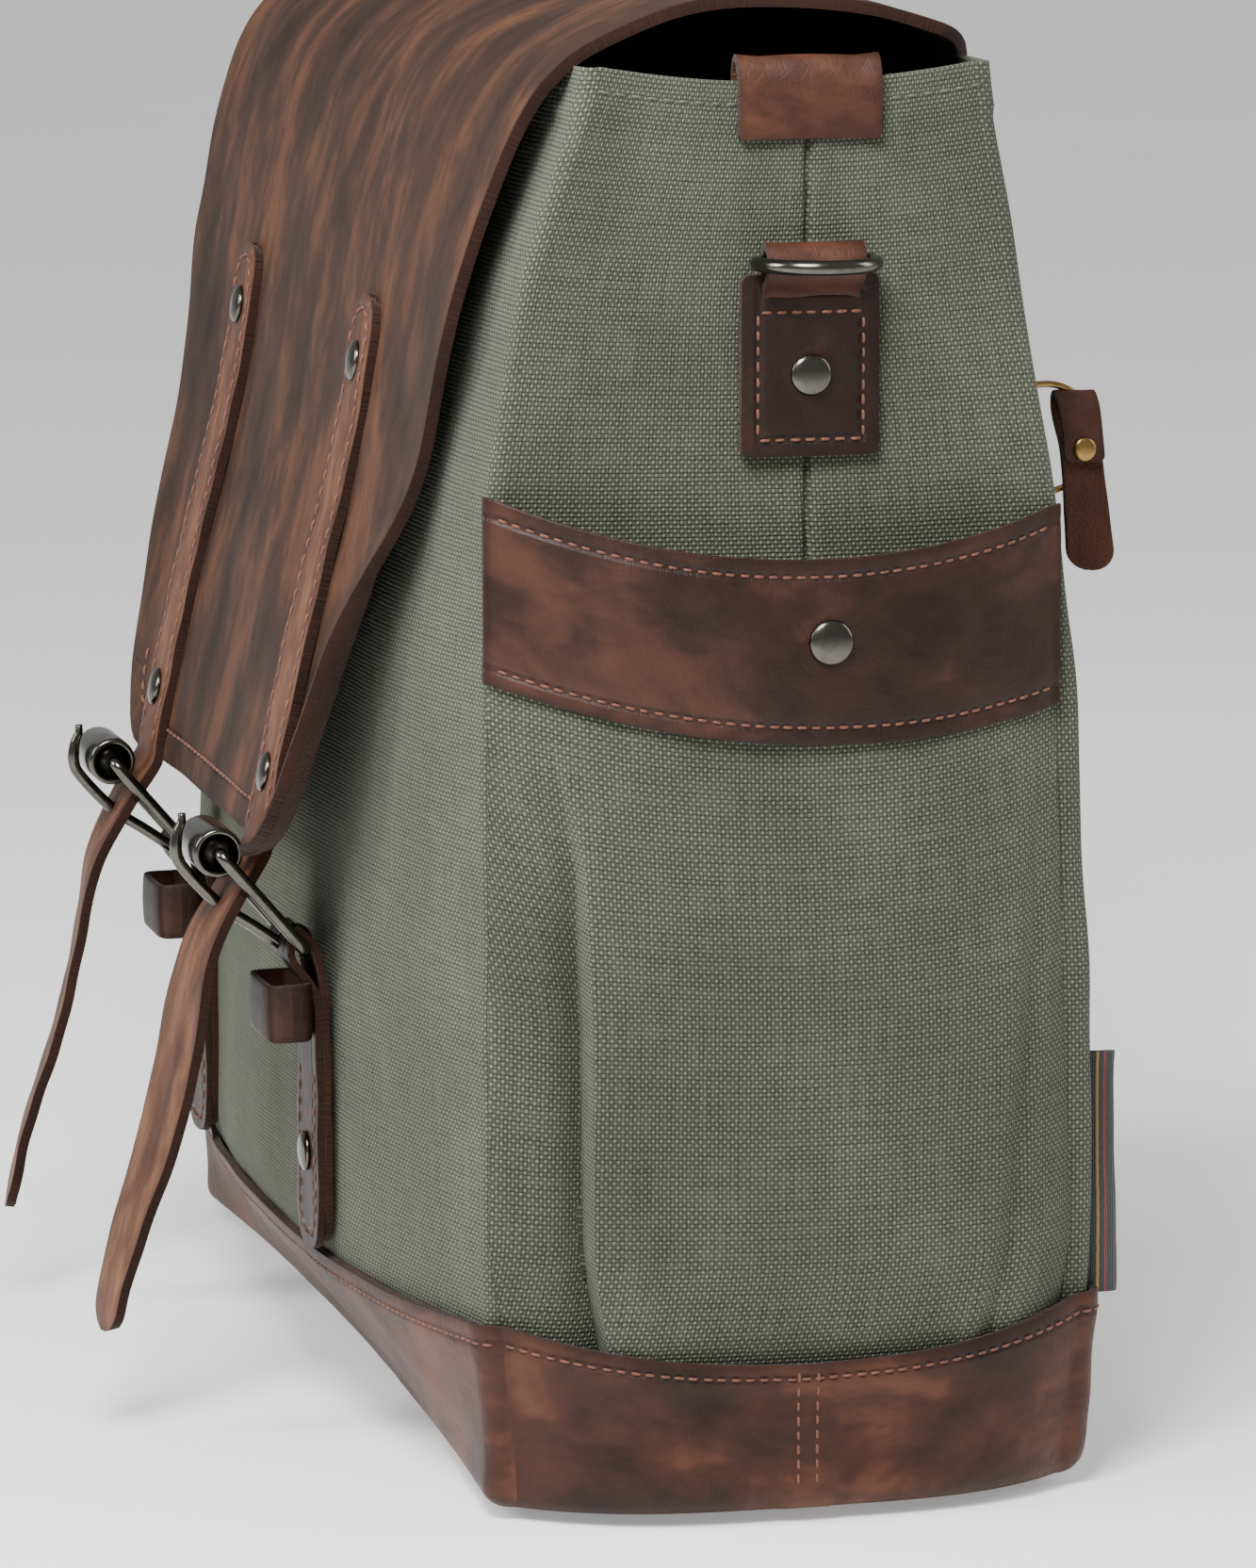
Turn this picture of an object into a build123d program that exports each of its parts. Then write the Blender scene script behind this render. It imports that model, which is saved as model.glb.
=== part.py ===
from build123d import *
import os
from math import atan2, cos, degrees, hypot, radians, sin

# Messenger bag: canvas body, leather base, side pockets, leather flap with two roller buckles.
# Millimetres. +X is the bag's right end, -Y its front, +Z up. The origin is the middle of the
# base, on the surface that the bag stands on.

# ---- driving dimensions -------------------------------------------------------------------
HALF_LENGTH = 180.0      # middle of the bag to the outside of a gusset
BODY_TOP = 350.0         # height of the open top edge
CANVAS = 2.0             # canvas wall
LINING = 0.8             # lining wall
CORNER = 8.0             # plan radius of the body's corners
# height, front half-depth, back half-depth, front bulge, back bulge
LEVELS = [
    (4.5, 72.0, 71.0, 1.0, 2.0),
    (44.0, 75.5, 77.0, 21.0, 4.0),
    (120.0, 75.5, 76.5, 21.0, 4.0),
    (200.0, 75.5, 72.5, 16.0, 3.0),
    (250.0, 74.0, 65.5, 7.0, 0.5),
    (300.0, 66.0, 56.0, 4.0, 0.5),
    (BODY_TOP, 49.0, 47.0, 1.0, 0.5),
]
SEAM_X = 160.0           # seams between the front and back panels and the gussets
PAD = 2.5                # floor pad under the base
BOOT = 2.0               # leather boot wall
BOOT_TOP = 44.0
GAP = 0.3                # clearance between pieces laid on each other
TAB_Y = 3.0              # centre line of the gusset fittings
SNAP = (4.5, 214.0)      # height and depth of the pocket's snap, as y, z

LEATHER = 3.0            # flap leather
STRAP_X = 75.0           # centre line of each closing strap
STRAP_WIDTH = 25.0
STRAP_THICK = 2.6
RIVET_R = 5.0
RIVET_H = 1.6

HEEL = (-101.4, 125.0)   # buckle heel bar, y and z
ROLLER = (-122.8, 150.0)  # buckle roller axis, y and z
FRAME_WIRE = 3.2
FRAME_WIDTH = 29.4       # between the centre lines of the side bars
ROLLER_R = 6.3
ROLLER_LENGTH = 23.6

# middle of the flap leather from the back edge to the front fold, then down the front
TOP_RUN = [(49.6, 351.2), (38.0, 357.0), (18.0, 363.0), (-1.0, 364.6), (-19.0, 363.2),
           (-37.0, 358.8), (-54.4, 350.2), (-65.0, 337.0)]
FRONT_RUN = [(-65.4, 336.0), (-72.2, 315.0), (-77.5, 290.0), (-84.5, 250.0), (-97.0, 200.0),
             (-108.0, 150.0)]
FLAP_OUTLINE = [(170.0, 340.0), (160.0, 285.0), (128.0, 212.0), (113.0, 175.0),
                (107.0, 150.0)]
FLAP_HALF_TOP = 172.0
# middle of a strap's free end, from the flap's edge through the buckle to its tip
TAIL_RUN = [(-111.0, 149.2), (-118.4, 137.2), (-125.8, 122.2), (-131.2, 101.0),
            (-136.6, 80.0), (-145.4, 48.0), (-149.4, 27.0)]

RING_X = 106.0           # zip slider and its ring, along the back panel
ZIP_Z = 250.5
ZIP_HALF = 125.0
RING_R = 13.6
RING_WIRE = 1.7
EYE_Y = 71.3             # ring wire where it passes the slider's bridge

PARTS = "parts"
os.makedirs(PARTS, exist_ok=True)


def save(builder, name):
    """Label a finished piece and write it as its own STEP file."""
    builder.part.label = name
    export_step(builder.part, f"{PARTS}/{name}.step")


def level(z):
    """Half-depths and bulges of the body's outside at a height."""
    for low, high in zip(LEVELS, LEVELS[1:]):
        if z <= high[0]:
            t = (z - low[0]) / (high[0] - low[0])
            return [a + (b - a) * t for a, b in zip(low[1:], high[1:])]
    return list(LEVELS[-1][1:])


def plan(z, inset=0.0, side=0.0, a=HALF_LENGTH):
    """The body's plan outline at a height, inset from the outside, with bowed sides."""
    front, back, front_bow, back_bow = level(z)
    front, back, a = front - inset, back - inset, a - inset
    with BuildSketch(Plane.XY.offset(z)) as outline:
        with BuildLine():
            ThreePointArc((-a, -front), (0, -front - front_bow), (a, -front))
            if side:
                ThreePointArc((a, -front), (a + side, (back - front) / 2), (a, back))
            else:
                Line((a, -front), (a, back))
            ThreePointArc((a, back), (0, back + back_bow), (-a, back))
            if side:
                ThreePointArc((-a, back), (-a - side, (back - front) / 2), (-a, -front))
            else:
                Line((-a, back), (-a, -front))
        make_face()
        fillet(outline.vertices(), max(CORNER - inset, 2.0))
    return outline.sketch


def body_solid(inset, z_low=LEVELS[0][0], z_high=BODY_TOP):
    """A solid of the body's shape, inset from its outside, between two heights."""
    heights = [z_low] + [lv[0] for lv in LEVELS if z_low < lv[0] < z_high] + [z_high]
    with BuildPart(mode=Mode.PRIVATE) as solid:
        loft([plan(z, inset) for z in heights], ruled=True)
    return solid.part


def offset_run(run, distance):
    """A run of points moved sideways, to the left of its direction."""
    moved = []
    for i, (y, z) in enumerate(run):
        before = run[max(i - 1, 0)]
        after = run[min(i + 1, len(run) - 1)]
        first = atan2(z - before[1], y - before[0]) if i else None
        last = atan2(after[1] - z, after[0] - y) if i < len(run) - 1 else None
        first = last if first is None else first
        last = first if last is None else last
        middle = (first + last) / 2 if abs(last - first) < 3.0 else (first + last) / 2 + radians(180)
        reach = distance / cos((last - first) / 2 if abs(last - first) < 3.0 else 0.0)
        moved.append((y - sin(middle) * reach, z + cos(middle) * reach))
    return moved


def band(run, thick, lift=0.0):
    """A strip's section in the YZ plane: a run of points given a thickness."""
    inner = offset_run(run, lift - thick / 2)
    outer = offset_run(run, lift + thick / 2)
    return inner + outer[::-1]


def along(run, z):
    """Point and angle of a downward run at a height."""
    for (y0, z0), (y1, z1) in zip(run, run[1:]):
        if z1 <= z <= z0:
            t = (z - z0) / (z1 - z0)
            return y0 + (y1 - y0) * t, atan2(z1 - z0, y1 - y0)
    raise ValueError(f"no point at height {z}")


SIDES = [("right", 1), ("left", -1)]

# ---- body shell ----------------------------------------------------------------------------
OUTER = body_solid(0.0)
INNER = body_solid(CANVAS)
TALL = 2 * BODY_TOP

for name, y_side in [("front_panel", -1), ("back_panel", 1)]:
    with BuildPart() as panel:
        add(OUTER)
        add(INNER, mode=Mode.SUBTRACT)
        with Locations((0, y_side * 100, BODY_TOP / 2)):
            Box(2 * SEAM_X, 200, TALL, mode=Mode.INTERSECT)
    save(panel, name)

for side, sign in SIDES:
    with BuildPart() as gusset:
        add(OUTER)
        add(INNER, mode=Mode.SUBTRACT)
        with Locations((sign * (SEAM_X + 50), 0, BODY_TOP / 2)):
            Box(100, 300, TALL, mode=Mode.INTERSECT)
    save(gusset, f"{side}_gusset")

# ---- base: floor pad, leather boot, canvas bottom, stiffener ---------------------------------
with BuildPart() as base_pad:
    with BuildSketch():
        RectangleRounded(2 * HALF_LENGTH - 26, 128, 14)
    extrude(amount=PAD)
save(base_pad, "base_pad")

BOOT_BOW = 17.0
with BuildPart() as base_boot:
    loft([plan(z, -BOOT - GAP, BOOT_BOW).moved(Location((0, 0, drop)))
          for z, drop in [(LEVELS[0][0], -BOOT), (BOOT_TOP, 0)]], ruled=True)
    loft([plan(LEVELS[0][0], -GAP, BOOT_BOW), plan(BOOT_TOP, -GAP, BOOT_BOW)],
         ruled=True, mode=Mode.SUBTRACT)
save(base_boot, "base_boot")

for name, bottom, thick, inset in [("base_panel", LEVELS[0][0] + 0.1, 1.8, CANVAS + 0.1),
                                   ("base_board", 6.6, 2.8, CANVAS + 3.0)]:
    with BuildPart() as plate:
        add(body_solid(inset, bottom, bottom + thick))
    save(plate, name)

# ---- lining and the slip pocket inside it ----------------------------------------------------
LINING_FLOOR = 9.6
LINING_TOP = 346.0
with BuildPart() as lining:
    add(body_solid(CANVAS + 0.2, LINING_FLOOR, LINING_TOP))
    add(body_solid(CANVAS + 0.2 + LINING, LINING_FLOOR + LINING, LINING_TOP + 2),
        mode=Mode.SUBTRACT)
save(lining, "lining")

POCKET_IN = CANVAS + 0.2 + LINING + 0.1   # face of the lining
SLIP_HALF, SLIP_LOW, SLIP_HIGH, SLIP_DEPTH, SLIP_WALL = 110.0, 90.0, 235.0, 9.0, 1.2
with BuildPart() as inner_pocket:
    add(body_solid(POCKET_IN, SLIP_LOW, SLIP_HIGH))
    add(body_solid(POCKET_IN + SLIP_DEPTH, SLIP_LOW - 1, SLIP_HIGH + 1), mode=Mode.SUBTRACT)
    with Locations((0, 60, (SLIP_LOW + SLIP_HIGH) / 2)):
        Box(2 * SLIP_HALF, 90, SLIP_HIGH - SLIP_LOW, mode=Mode.INTERSECT)
    with BuildPart(mode=Mode.SUBTRACT):
        add(body_solid(POCKET_IN - 0.5, SLIP_LOW + SLIP_WALL, SLIP_HIGH + 2))
        add(body_solid(POCKET_IN + SLIP_DEPTH - SLIP_WALL, SLIP_LOW - 2, SLIP_HIGH + 3),
            mode=Mode.SUBTRACT)
        with Locations((0, 60, (SLIP_LOW + SLIP_HIGH) / 2)):
            Box(2 * (SLIP_HALF - SLIP_WALL), 90, TALL, mode=Mode.INTERSECT)
save(inner_pocket, "inner_pocket")

# ---- side pockets ----------------------------------------------------------------------------
POCKET_LOW, POCKET_TOP = 5.0, 252.0
POCKET_WALL, POCKET_BOW, BAND = 2.0, 14.4, 1.8
POCKET_FACE = HALF_LENGTH + 0.2


def crescent(z, bow, grow, sign):
    """Plan of a pocket at a height: a chord on the gusset and an arc standing out from it."""
    t = (z - POCKET_LOW) / (POCKET_TOP - POCKET_LOW)
    low, high = -68.0 - grow, 68.0 - 9.5 * t + grow
    face = sign * POCKET_FACE
    with BuildSketch(Plane.XY.offset(z)) as shape:
        with BuildLine():
            Line((face, low), (face, high))
            ThreePointArc((face, high), (face + sign * bow, (low + high) / 2), (face, low))
        make_face()
    return shape.sketch


def pocket_outline(points_low, points_high, sign):
    """A block seen from the bag's end, between a curved lower and a curved upper edge."""
    with BuildPart(mode=Mode.PRIVATE) as block:
        with BuildSketch(Plane.YZ.offset(sign * (HALF_LENGTH - 5) - (40 if sign < 0 else 0))):
            with BuildLine():
                ThreePointArc(*points_low)
                Line(points_low[2], points_high[2])
                ThreePointArc(*points_high[::-1])
                Line(points_high[0], points_low[0])
            make_face()
        extrude(amount=40)
    return block.part


MOUTH = [(-75, 249), (5, 234), (75, 247)]
HEM = [(-75, 204), (5, 189), (75, 197)]
FLOOR = [(-75, 5.0), (5, 4.9), (75, 5.0)]
for side, sign in SIDES:
    with BuildPart() as side_pocket:
        loft([crescent(POCKET_LOW, POCKET_BOW, 0, sign),
              crescent(POCKET_TOP, POCKET_BOW, 0, sign)], ruled=True)
        loft([crescent(POCKET_LOW - 1, POCKET_BOW - POCKET_WALL, -3, sign),
              crescent(POCKET_TOP + 1, POCKET_BOW - POCKET_WALL, -3, sign)],
             ruled=True, mode=Mode.SUBTRACT)
        add(pocket_outline(FLOOR, [(y, z - 1.0) for y, z in MOUTH], sign),
            mode=Mode.INTERSECT)
    save(side_pocket, f"{side}_side_pocket")

    with BuildPart() as pocket_band:
        loft([crescent(POCKET_LOW, POCKET_BOW + BAND + 0.1, 1.5, sign),
              crescent(POCKET_TOP, POCKET_BOW + BAND + 0.1, 1.5, sign)], ruled=True)
        loft([crescent(POCKET_LOW - 1, POCKET_BOW + 0.1, 0.1, sign),
              crescent(POCKET_TOP + 1, POCKET_BOW + 0.1, 0.1, sign)],
             ruled=True, mode=Mode.SUBTRACT)
        add(pocket_outline(HEM, MOUTH, sign), mode=Mode.INTERSECT)
    save(pocket_band, f"{side}_pocket_band")

    # snap: a domed cap outside the band and a stud on the gusset behind it
    cap_x = POCKET_FACE + POCKET_BOW + BAND + 0.2
    with BuildPart() as snap_cap:
        with BuildSketch(Plane.YZ.offset(sign * cap_x)):
            with Locations(SNAP):
                Circle(5.4)
        extrude(amount=sign * 2.2)
        fillet(snap_cap.faces().sort_by(Axis.X)[-1 if sign > 0 else 0].edges(), 1.4)
    save(snap_cap, f"{side}_snap_cap")
    with BuildPart() as snap_stud:
        with BuildSketch(Plane.YZ.offset(sign * (HALF_LENGTH + 0.1))):
            with Locations(SNAP):
                Circle(4.5)
        extrude(amount=sign * 1.2)
        with BuildSketch(Plane.YZ.offset(sign * (HALF_LENGTH + 1.2))):
            with Locations(SNAP):
                Circle(2.1)
        extrude(amount=sign * 2.6)
    save(snap_stud, f"{side}_snap_stud")

# ---- gusset fittings: top patch, D-ring tab, D-ring, rivet ------------------------------------
PATCH_WIDTH, PATCH_LOW, PATCH_THICK = 35.0, 332.5, 1.8
TAB_LOW, TAB_HIGH, TAB_THICK, TAB_WIDTH = 257.0, 300.5, 2.8, 34.0
LOOP_WIDTH = 24.0
DEE_BAR = (HALF_LENGTH + 5.4, 303.6)     # bar of the D-ring, x and z
DEE_WIRE, DEE_INSIDE, DEE_CORNER = 3.6, 25.0, 2.2   # wire, inside width, corner radius

for side, sign in SIDES:
    with BuildPart() as top_patch:
        outside = HALF_LENGTH + 0.2 + PATCH_THICK
        inside = HALF_LENGTH - CANVAS - LINING - 0.6 - PATCH_THICK
        with BuildSketch(Plane.XZ.offset(-TAB_Y - PATCH_WIDTH / 2)):
            with Locations((sign * (outside + inside) / 2, (PATCH_LOW + BODY_TOP + 2.1) / 2)):
                Rectangle(outside - inside, BODY_TOP + 2.1 - PATCH_LOW)
            with Locations((sign * (outside + inside) / 2, (PATCH_LOW + BODY_TOP + 0.2) / 2 - 1)):
                Rectangle(outside - inside - 2 * PATCH_THICK, BODY_TOP + 2.2 - PATCH_LOW,
                          mode=Mode.SUBTRACT)
        extrude(amount=PATCH_WIDTH)
    save(top_patch, f"{side}_top_patch")

    with BuildPart() as dring_tab:
        with BuildSketch(Plane.YZ.offset(sign * (HALF_LENGTH + 0.2))):
            with Locations((TAB_Y, (TAB_LOW + TAB_HIGH) / 2)):
                Rectangle(TAB_WIDTH, TAB_HIGH - TAB_LOW)
        extrude(amount=sign * TAB_THICK)
        with BuildSketch(Plane.XZ.offset(-TAB_Y - LOOP_WIDTH / 2)):
            with Locations((sign * DEE_BAR[0], DEE_BAR[1])):
                Circle(4.7)
            with Locations((sign * (HALF_LENGTH + 1.6), TAB_HIGH)):
                Rectangle(2.8, 8)
        extrude(amount=LOOP_WIDTH)
        with BuildSketch(Plane.XZ.offset(-TAB_Y - LOOP_WIDTH)):
            with Locations((sign * DEE_BAR[0], DEE_BAR[1])):
                Circle(DEE_WIRE / 2 + 0.4)
        extrude(amount=2 * LOOP_WIDTH, mode=Mode.SUBTRACT)
    save(dring_tab, f"{side}_dring_tab")

    half = (DEE_INSIDE + DEE_WIRE) / 2
    bar_x = sign * DEE_BAR[0]
    near, far = bar_x + sign * DEE_CORNER, bar_x + sign * (DEE_CORNER + half)
    low, high = TAB_Y - half, TAB_Y + half
    with BuildPart() as dring:
        with BuildLine(Plane.XY.offset(DEE_BAR[1])):
            Line((bar_x, low + DEE_CORNER), (bar_x, high - DEE_CORNER))
            RadiusArc((bar_x, high - DEE_CORNER), (near, high), sign * DEE_CORNER)
            ThreePointArc((near, high), (far, TAB_Y), (near, low))
            RadiusArc((near, low), (bar_x, low + DEE_CORNER), sign * DEE_CORNER)
        with BuildSketch(Plane(origin=(bar_x, low + DEE_CORNER, DEE_BAR[1]), z_dir=(0, 1, 0))):
            Circle(DEE_WIRE / 2)
        sweep()
    save(dring, f"{side}_dring")

    with BuildPart() as tab_rivet:
        with BuildSketch(Plane.YZ.offset(sign * (HALF_LENGTH + 0.2 + TAB_THICK + 0.05))):
            with Locations((TAB_Y, 276.5)):
                Circle(RIVET_R)
        extrude(amount=sign * RIVET_H)
        fillet(tab_rivet.faces().sort_by(Axis.X)[-1 if sign > 0 else 0].edges(), 1.1)
    save(tab_rivet, f"{side}_tab_rivet")

# ---- flap: anchor strip, top, front -----------------------------------------------------------
ANCHOR_RUN = [(49.2, 349.4), (54.9, 320.0)]
with BuildPart() as flap_anchor:
    with BuildSketch(Plane.YZ.offset(-FLAP_HALF_TOP + 6)):
        with BuildLine():
            Polyline(*band(ANCHOR_RUN, LEATHER), close=True)
        make_face()
    extrude(amount=2 * FLAP_HALF_TOP - 12)
save(flap_anchor, "flap_anchor")

with BuildPart() as flap_top:
    with BuildSketch(Plane.YZ.offset(-FLAP_HALF_TOP)):
        with BuildLine():
            Polyline(*band(TOP_RUN, LEATHER), close=True)
        make_face()
    extrude(amount=2 * FLAP_HALF_TOP)
save(flap_top, "flap_top")

with BuildPart() as flap_front:
    with BuildSketch(Plane.YZ.offset(-FLAP_HALF_TOP)):
        with BuildLine():
            Polyline(*band(FRONT_RUN, LEATHER), close=True)
        make_face()
    extrude(amount=2 * FLAP_HALF_TOP)
    with BuildSketch(Plane.XZ.offset(40)) as front_view:
        with BuildLine():
            Polyline(*FLAP_OUTLINE, *[(-x, z) for x, z in FLAP_OUTLINE[::-1]], close=True)
        make_face()
        fillet(front_view.vertices().group_by(Axis.Y)[0], 24)
    extrude(amount=120, mode=Mode.INTERSECT)
save(flap_front, "flap_front")

# ---- closing straps: sewn part, free tail, rivets ---------------------------------------------
SEWN_LIFT = (LEATHER + STRAP_THICK) / 2 + 0.05
SEWN_TOP = 290.0
SEWN_RUN = [p for p in FRONT_RUN if p[1] <= SEWN_TOP]
SEWN_RUN[0] = (along(FRONT_RUN, SEWN_TOP - 4)[0], SEWN_TOP - 4)
RIVET_HEIGHTS = [270.0, 167.0]
FRAME_ANGLE = atan2(ROLLER[1] - HEEL[1], ROLLER[0] - HEEL[0])
FRAME_LENGTH = hypot(ROLLER[0] - HEEL[0], ROLLER[1] - HEEL[1])
PRONG_R = 1.5
PRONG_LIFT = ROLLER_R + PRONG_R + 0.5     # prong centre line above the roller's axis


def buckle_plane(x):
    """Local plane of a buckle: x across, y from the heel bar to the roller, z outwards."""
    return Plane(origin=(x, *HEEL), x_dir=(1, 0, 0),
                 z_dir=(0, -sin(FRAME_ANGLE), cos(FRAME_ANGLE)))


for side, sign in SIDES:
    x = sign * STRAP_X
    with BuildPart() as flap_strap:
        with BuildSketch(Plane.YZ.offset(x - STRAP_WIDTH / 2)):
            with BuildLine():
                Polyline(*band(SEWN_RUN, STRAP_THICK, -SEWN_LIFT), close=True)
            make_face()
        extrude(amount=STRAP_WIDTH)
        fillet(flap_strap.edges().filter_by(lambda e: e.length < 2 * STRAP_THICK)
               .filter_by(lambda e: e.center().Z > SEWN_TOP - 8), 11)
    save(flap_strap, f"{side}_flap_strap")

    local = buckle_plane(x)
    with BuildPart() as strap_tail:
        with BuildSketch(Plane.YZ.offset(x - STRAP_WIDTH / 2)):
            with BuildLine():
                Polyline(*band(TAIL_RUN, STRAP_THICK), close=True)
            make_face()
        extrude(amount=STRAP_WIDTH)
        with BuildSketch(Plane.XZ.offset(90)):
            tip = TAIL_RUN[-1][1]
            with BuildLine():
                Polyline((x - 13, 152), (x - 13, tip + 20), (x - 4, tip - 2), (x + 4, tip - 2),
                         (x + 13, tip + 20), (x + 13, 152), close=True)
            make_face()
        extrude(amount=80, mode=Mode.INTERSECT)
        # slot where the buckle's prong passes through
        with BuildSketch(local):
            with Locations((0, 22)):
                Rectangle(5.0, 11.0)
        extrude(amount=14, mode=Mode.SUBTRACT)
    save(strap_tail, f"{side}_strap_tail")

with BuildPart() as strap_rivets:
    for sign in (1, -1):
        for z in RIVET_HEIGHTS:
            y, angle = along(FRONT_RUN, z)
            outward = (sin(angle), -cos(angle))
            lift = SEWN_LIFT + STRAP_THICK / 2 + 0.05
            with BuildSketch(Plane(origin=(sign * STRAP_X, y + outward[0] * lift,
                                           z + outward[1] * lift),
                                   x_dir=(1, 0, 0), z_dir=(0, *outward))):
                Circle(RIVET_R)
            extrude(amount=RIVET_H)
save(strap_rivets, "strap_rivets")

# ---- buckles: chape, keeper, frame, roller, prong ----------------------------------------------
CHAPE_BACK, CHAPE_THICK, CHAPE_LOW = -94.6, 3.8, 46.5
CHAPE_TOP = 117.0
KEEPER_LOW, KEEPER_HIGH, KEEPER_WALL, KEEPER_DEPTH = 102.0, 116.0, 1.8, 12.8

for side, sign in SIDES:
    x = sign * STRAP_X
    front = CHAPE_BACK - CHAPE_THICK
    with BuildPart() as chape:
        with BuildSketch(Plane.YZ.offset(x - STRAP_WIDTH / 2)):
            with BuildLine():
                Polyline((CHAPE_BACK, CHAPE_LOW), (CHAPE_BACK, CHAPE_TOP),
                         (HEEL[0] + 3.6, HEEL[1] + 2.0), (HEEL[0], HEEL[1] + 4.1),
                         (HEEL[0] - 4.0, HEEL[1] - 1.0), (front, CHAPE_TOP - 0.5),
                         (front, CHAPE_LOW), close=True)
            make_face()
            with Locations(HEEL):
                Circle(4.1)
                Circle(FRAME_WIRE / 2 + 0.3, mode=Mode.SUBTRACT)
        extrude(amount=STRAP_WIDTH)
        with BuildSketch(Plane.YZ.offset(x - 3.2)):
            with Locations((HEEL[0] - 1.5, HEEL[1] + 1.5)):
                Circle(6.6)
        extrude(amount=6.4, mode=Mode.SUBTRACT)
        fillet(chape.edges().filter_by(Axis.Y).group_by(Axis.Z)[0], 10)
    save(chape, f"{side}_chape")

    with BuildPart() as chape_rivet:
        with BuildSketch(Plane(origin=(x, front - 0.05, 71), x_dir=(1, 0, 0), z_dir=(0, -1, 0))):
            Circle(RIVET_R)
        extrude(amount=RIVET_H)
        fillet(chape_rivet.faces().sort_by(Axis.Y)[0].edges(), 1.1)
    save(chape_rivet, f"{side}_chape_rivet")

    with BuildPart() as keeper:
        with BuildSketch(Plane.XY.offset(KEEPER_LOW)) as ring:
            with Locations((x, front - 0.2 - KEEPER_DEPTH / 2)):
                RectangleRounded(STRAP_WIDTH + 5.0, KEEPER_DEPTH, 3.5)
                RectangleRounded(STRAP_WIDTH + 5.0 - 2 * KEEPER_WALL,
                                 KEEPER_DEPTH - 2 * KEEPER_WALL, 1.8, mode=Mode.SUBTRACT)
        extrude(amount=KEEPER_HIGH - KEEPER_LOW)
    save(keeper, f"{side}_keeper")

    local = buckle_plane(x)
    with BuildPart() as buckle_frame:
        with BuildLine(local) as wire:
            half = FRAME_WIDTH / 2
            FilletPolyline((-half, 0), (half, 0), (half, FRAME_LENGTH), (-half, FRAME_LENGTH),
                           close=True, radius=2.4)
        with BuildSketch(Plane(origin=wire.line @ 0, z_dir=wire.line % 0)):
            Circle(FRAME_WIRE / 2)
        sweep()
    save(buckle_frame, f"{side}_buckle_frame")

    with BuildPart() as roller:
        with BuildSketch(Plane(origin=(x - ROLLER_LENGTH / 2, *ROLLER), z_dir=(1, 0, 0))):
            Circle(ROLLER_R)
            Circle(FRAME_WIRE / 2 + 0.1, mode=Mode.SUBTRACT)
        extrude(amount=ROLLER_LENGTH)
        for end in (-1, 1):
            with BuildSketch(Plane(origin=(x + end * ROLLER_LENGTH / 2, *ROLLER),
                                   z_dir=(-end, 0, 0))):
                Circle(4.3)
            extrude(amount=3.0, mode=Mode.SUBTRACT)
    save(roller, f"{side}_buckle_roller")

    with BuildPart() as prong:
        with BuildSketch(Plane(origin=(x - 2.2, *HEEL), z_dir=(1, 0, 0))):
            Circle(3.5)
        extrude(amount=4.4)
        with BuildLine(Plane(origin=local.origin, x_dir=local.y_dir, z_dir=(1, 0, 0))):
            Polyline((2.2, 1.6), (FRAME_LENGTH - 2, PRONG_LIFT + 0.3),
                     (FRAME_LENGTH + 5.4, PRONG_LIFT - 0.6), (FRAME_LENGTH + 9.6, 2.6))
        with BuildSketch(Plane(origin=local.from_local_coords(Vector(0, 2.2, 1.6)),
                               z_dir=(local.y_dir * (FRAME_LENGTH - 4.2)
                                      + local.z_dir * (PRONG_LIFT - 1.3)))):
            Circle(PRONG_R)
        sweep(transition=Transition.ROUND)
        with BuildSketch(Plane(origin=(x - 4, *HEEL), z_dir=(1, 0, 0))):
            Circle(FRAME_WIRE / 2 + 0.1)
        extrude(amount=8, mode=Mode.SUBTRACT)
    save(prong, f"{side}_buckle_prong")

# ---- woven label in the back seam --------------------------------------------------------------
with BuildPart() as woven_label:
    with Locations((171.0, 82.6, 76.5)):
        Box(1.0, 9.6, 60.0)
save(woven_label, "woven_label")

# ---- back zip pocket: tape, teeth, slider, ring, fob --------------------------------------------
BACK_TILT = radians(9.4)                 # lean of the back panel's upper part
ZIP_FACE = 66.5                          # back panel's surface at the zip
out = Vector(0, cos(BACK_TILT), sin(BACK_TILT))
zip_plane = Plane(origin=(0, ZIP_FACE, ZIP_Z), x_dir=(1, 0, 0), z_dir=out)
with BuildPart() as zip_tape:
    with BuildSketch(zip_plane):
        Rectangle(2 * ZIP_HALF + 14, 22)
    extrude(amount=0.8)
save(zip_tape, "zip_tape")
TEETH = 2.3                              # height of the teeth above the panel
with BuildPart() as zip_teeth:
    with BuildSketch(zip_plane.offset(0.9)):
        Rectangle(2 * ZIP_HALF, 4.6)
    extrude(amount=TEETH - 0.9)
save(zip_teeth, "zip_teeth")

SLIDER_TOP = 3.6
slider_plane = Plane(origin=(RING_X, ZIP_FACE, ZIP_Z), x_dir=(1, 0, 0), z_dir=out)
with BuildPart() as zip_slider:
    with BuildSketch(slider_plane.offset(1.2)):
        RectangleRounded(12, 9, 3)
    extrude(amount=SLIDER_TOP - 1.2)
    with BuildSketch(slider_plane.offset(1.0)):
        Rectangle(20, 5.4)
    extrude(amount=TEETH - 0.7, mode=Mode.SUBTRACT)
    with BuildSketch(slider_plane.offset(SLIDER_TOP - 0.5)):
        Rectangle(11, 2.6)
    extrude(amount=4.6)
    with BuildSketch(slider_plane.offset(SLIDER_TOP)):
        Rectangle(6.4, 4)
    extrude(amount=2.9, mode=Mode.SUBTRACT)
save(zip_slider, "zip_slider")

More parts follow.
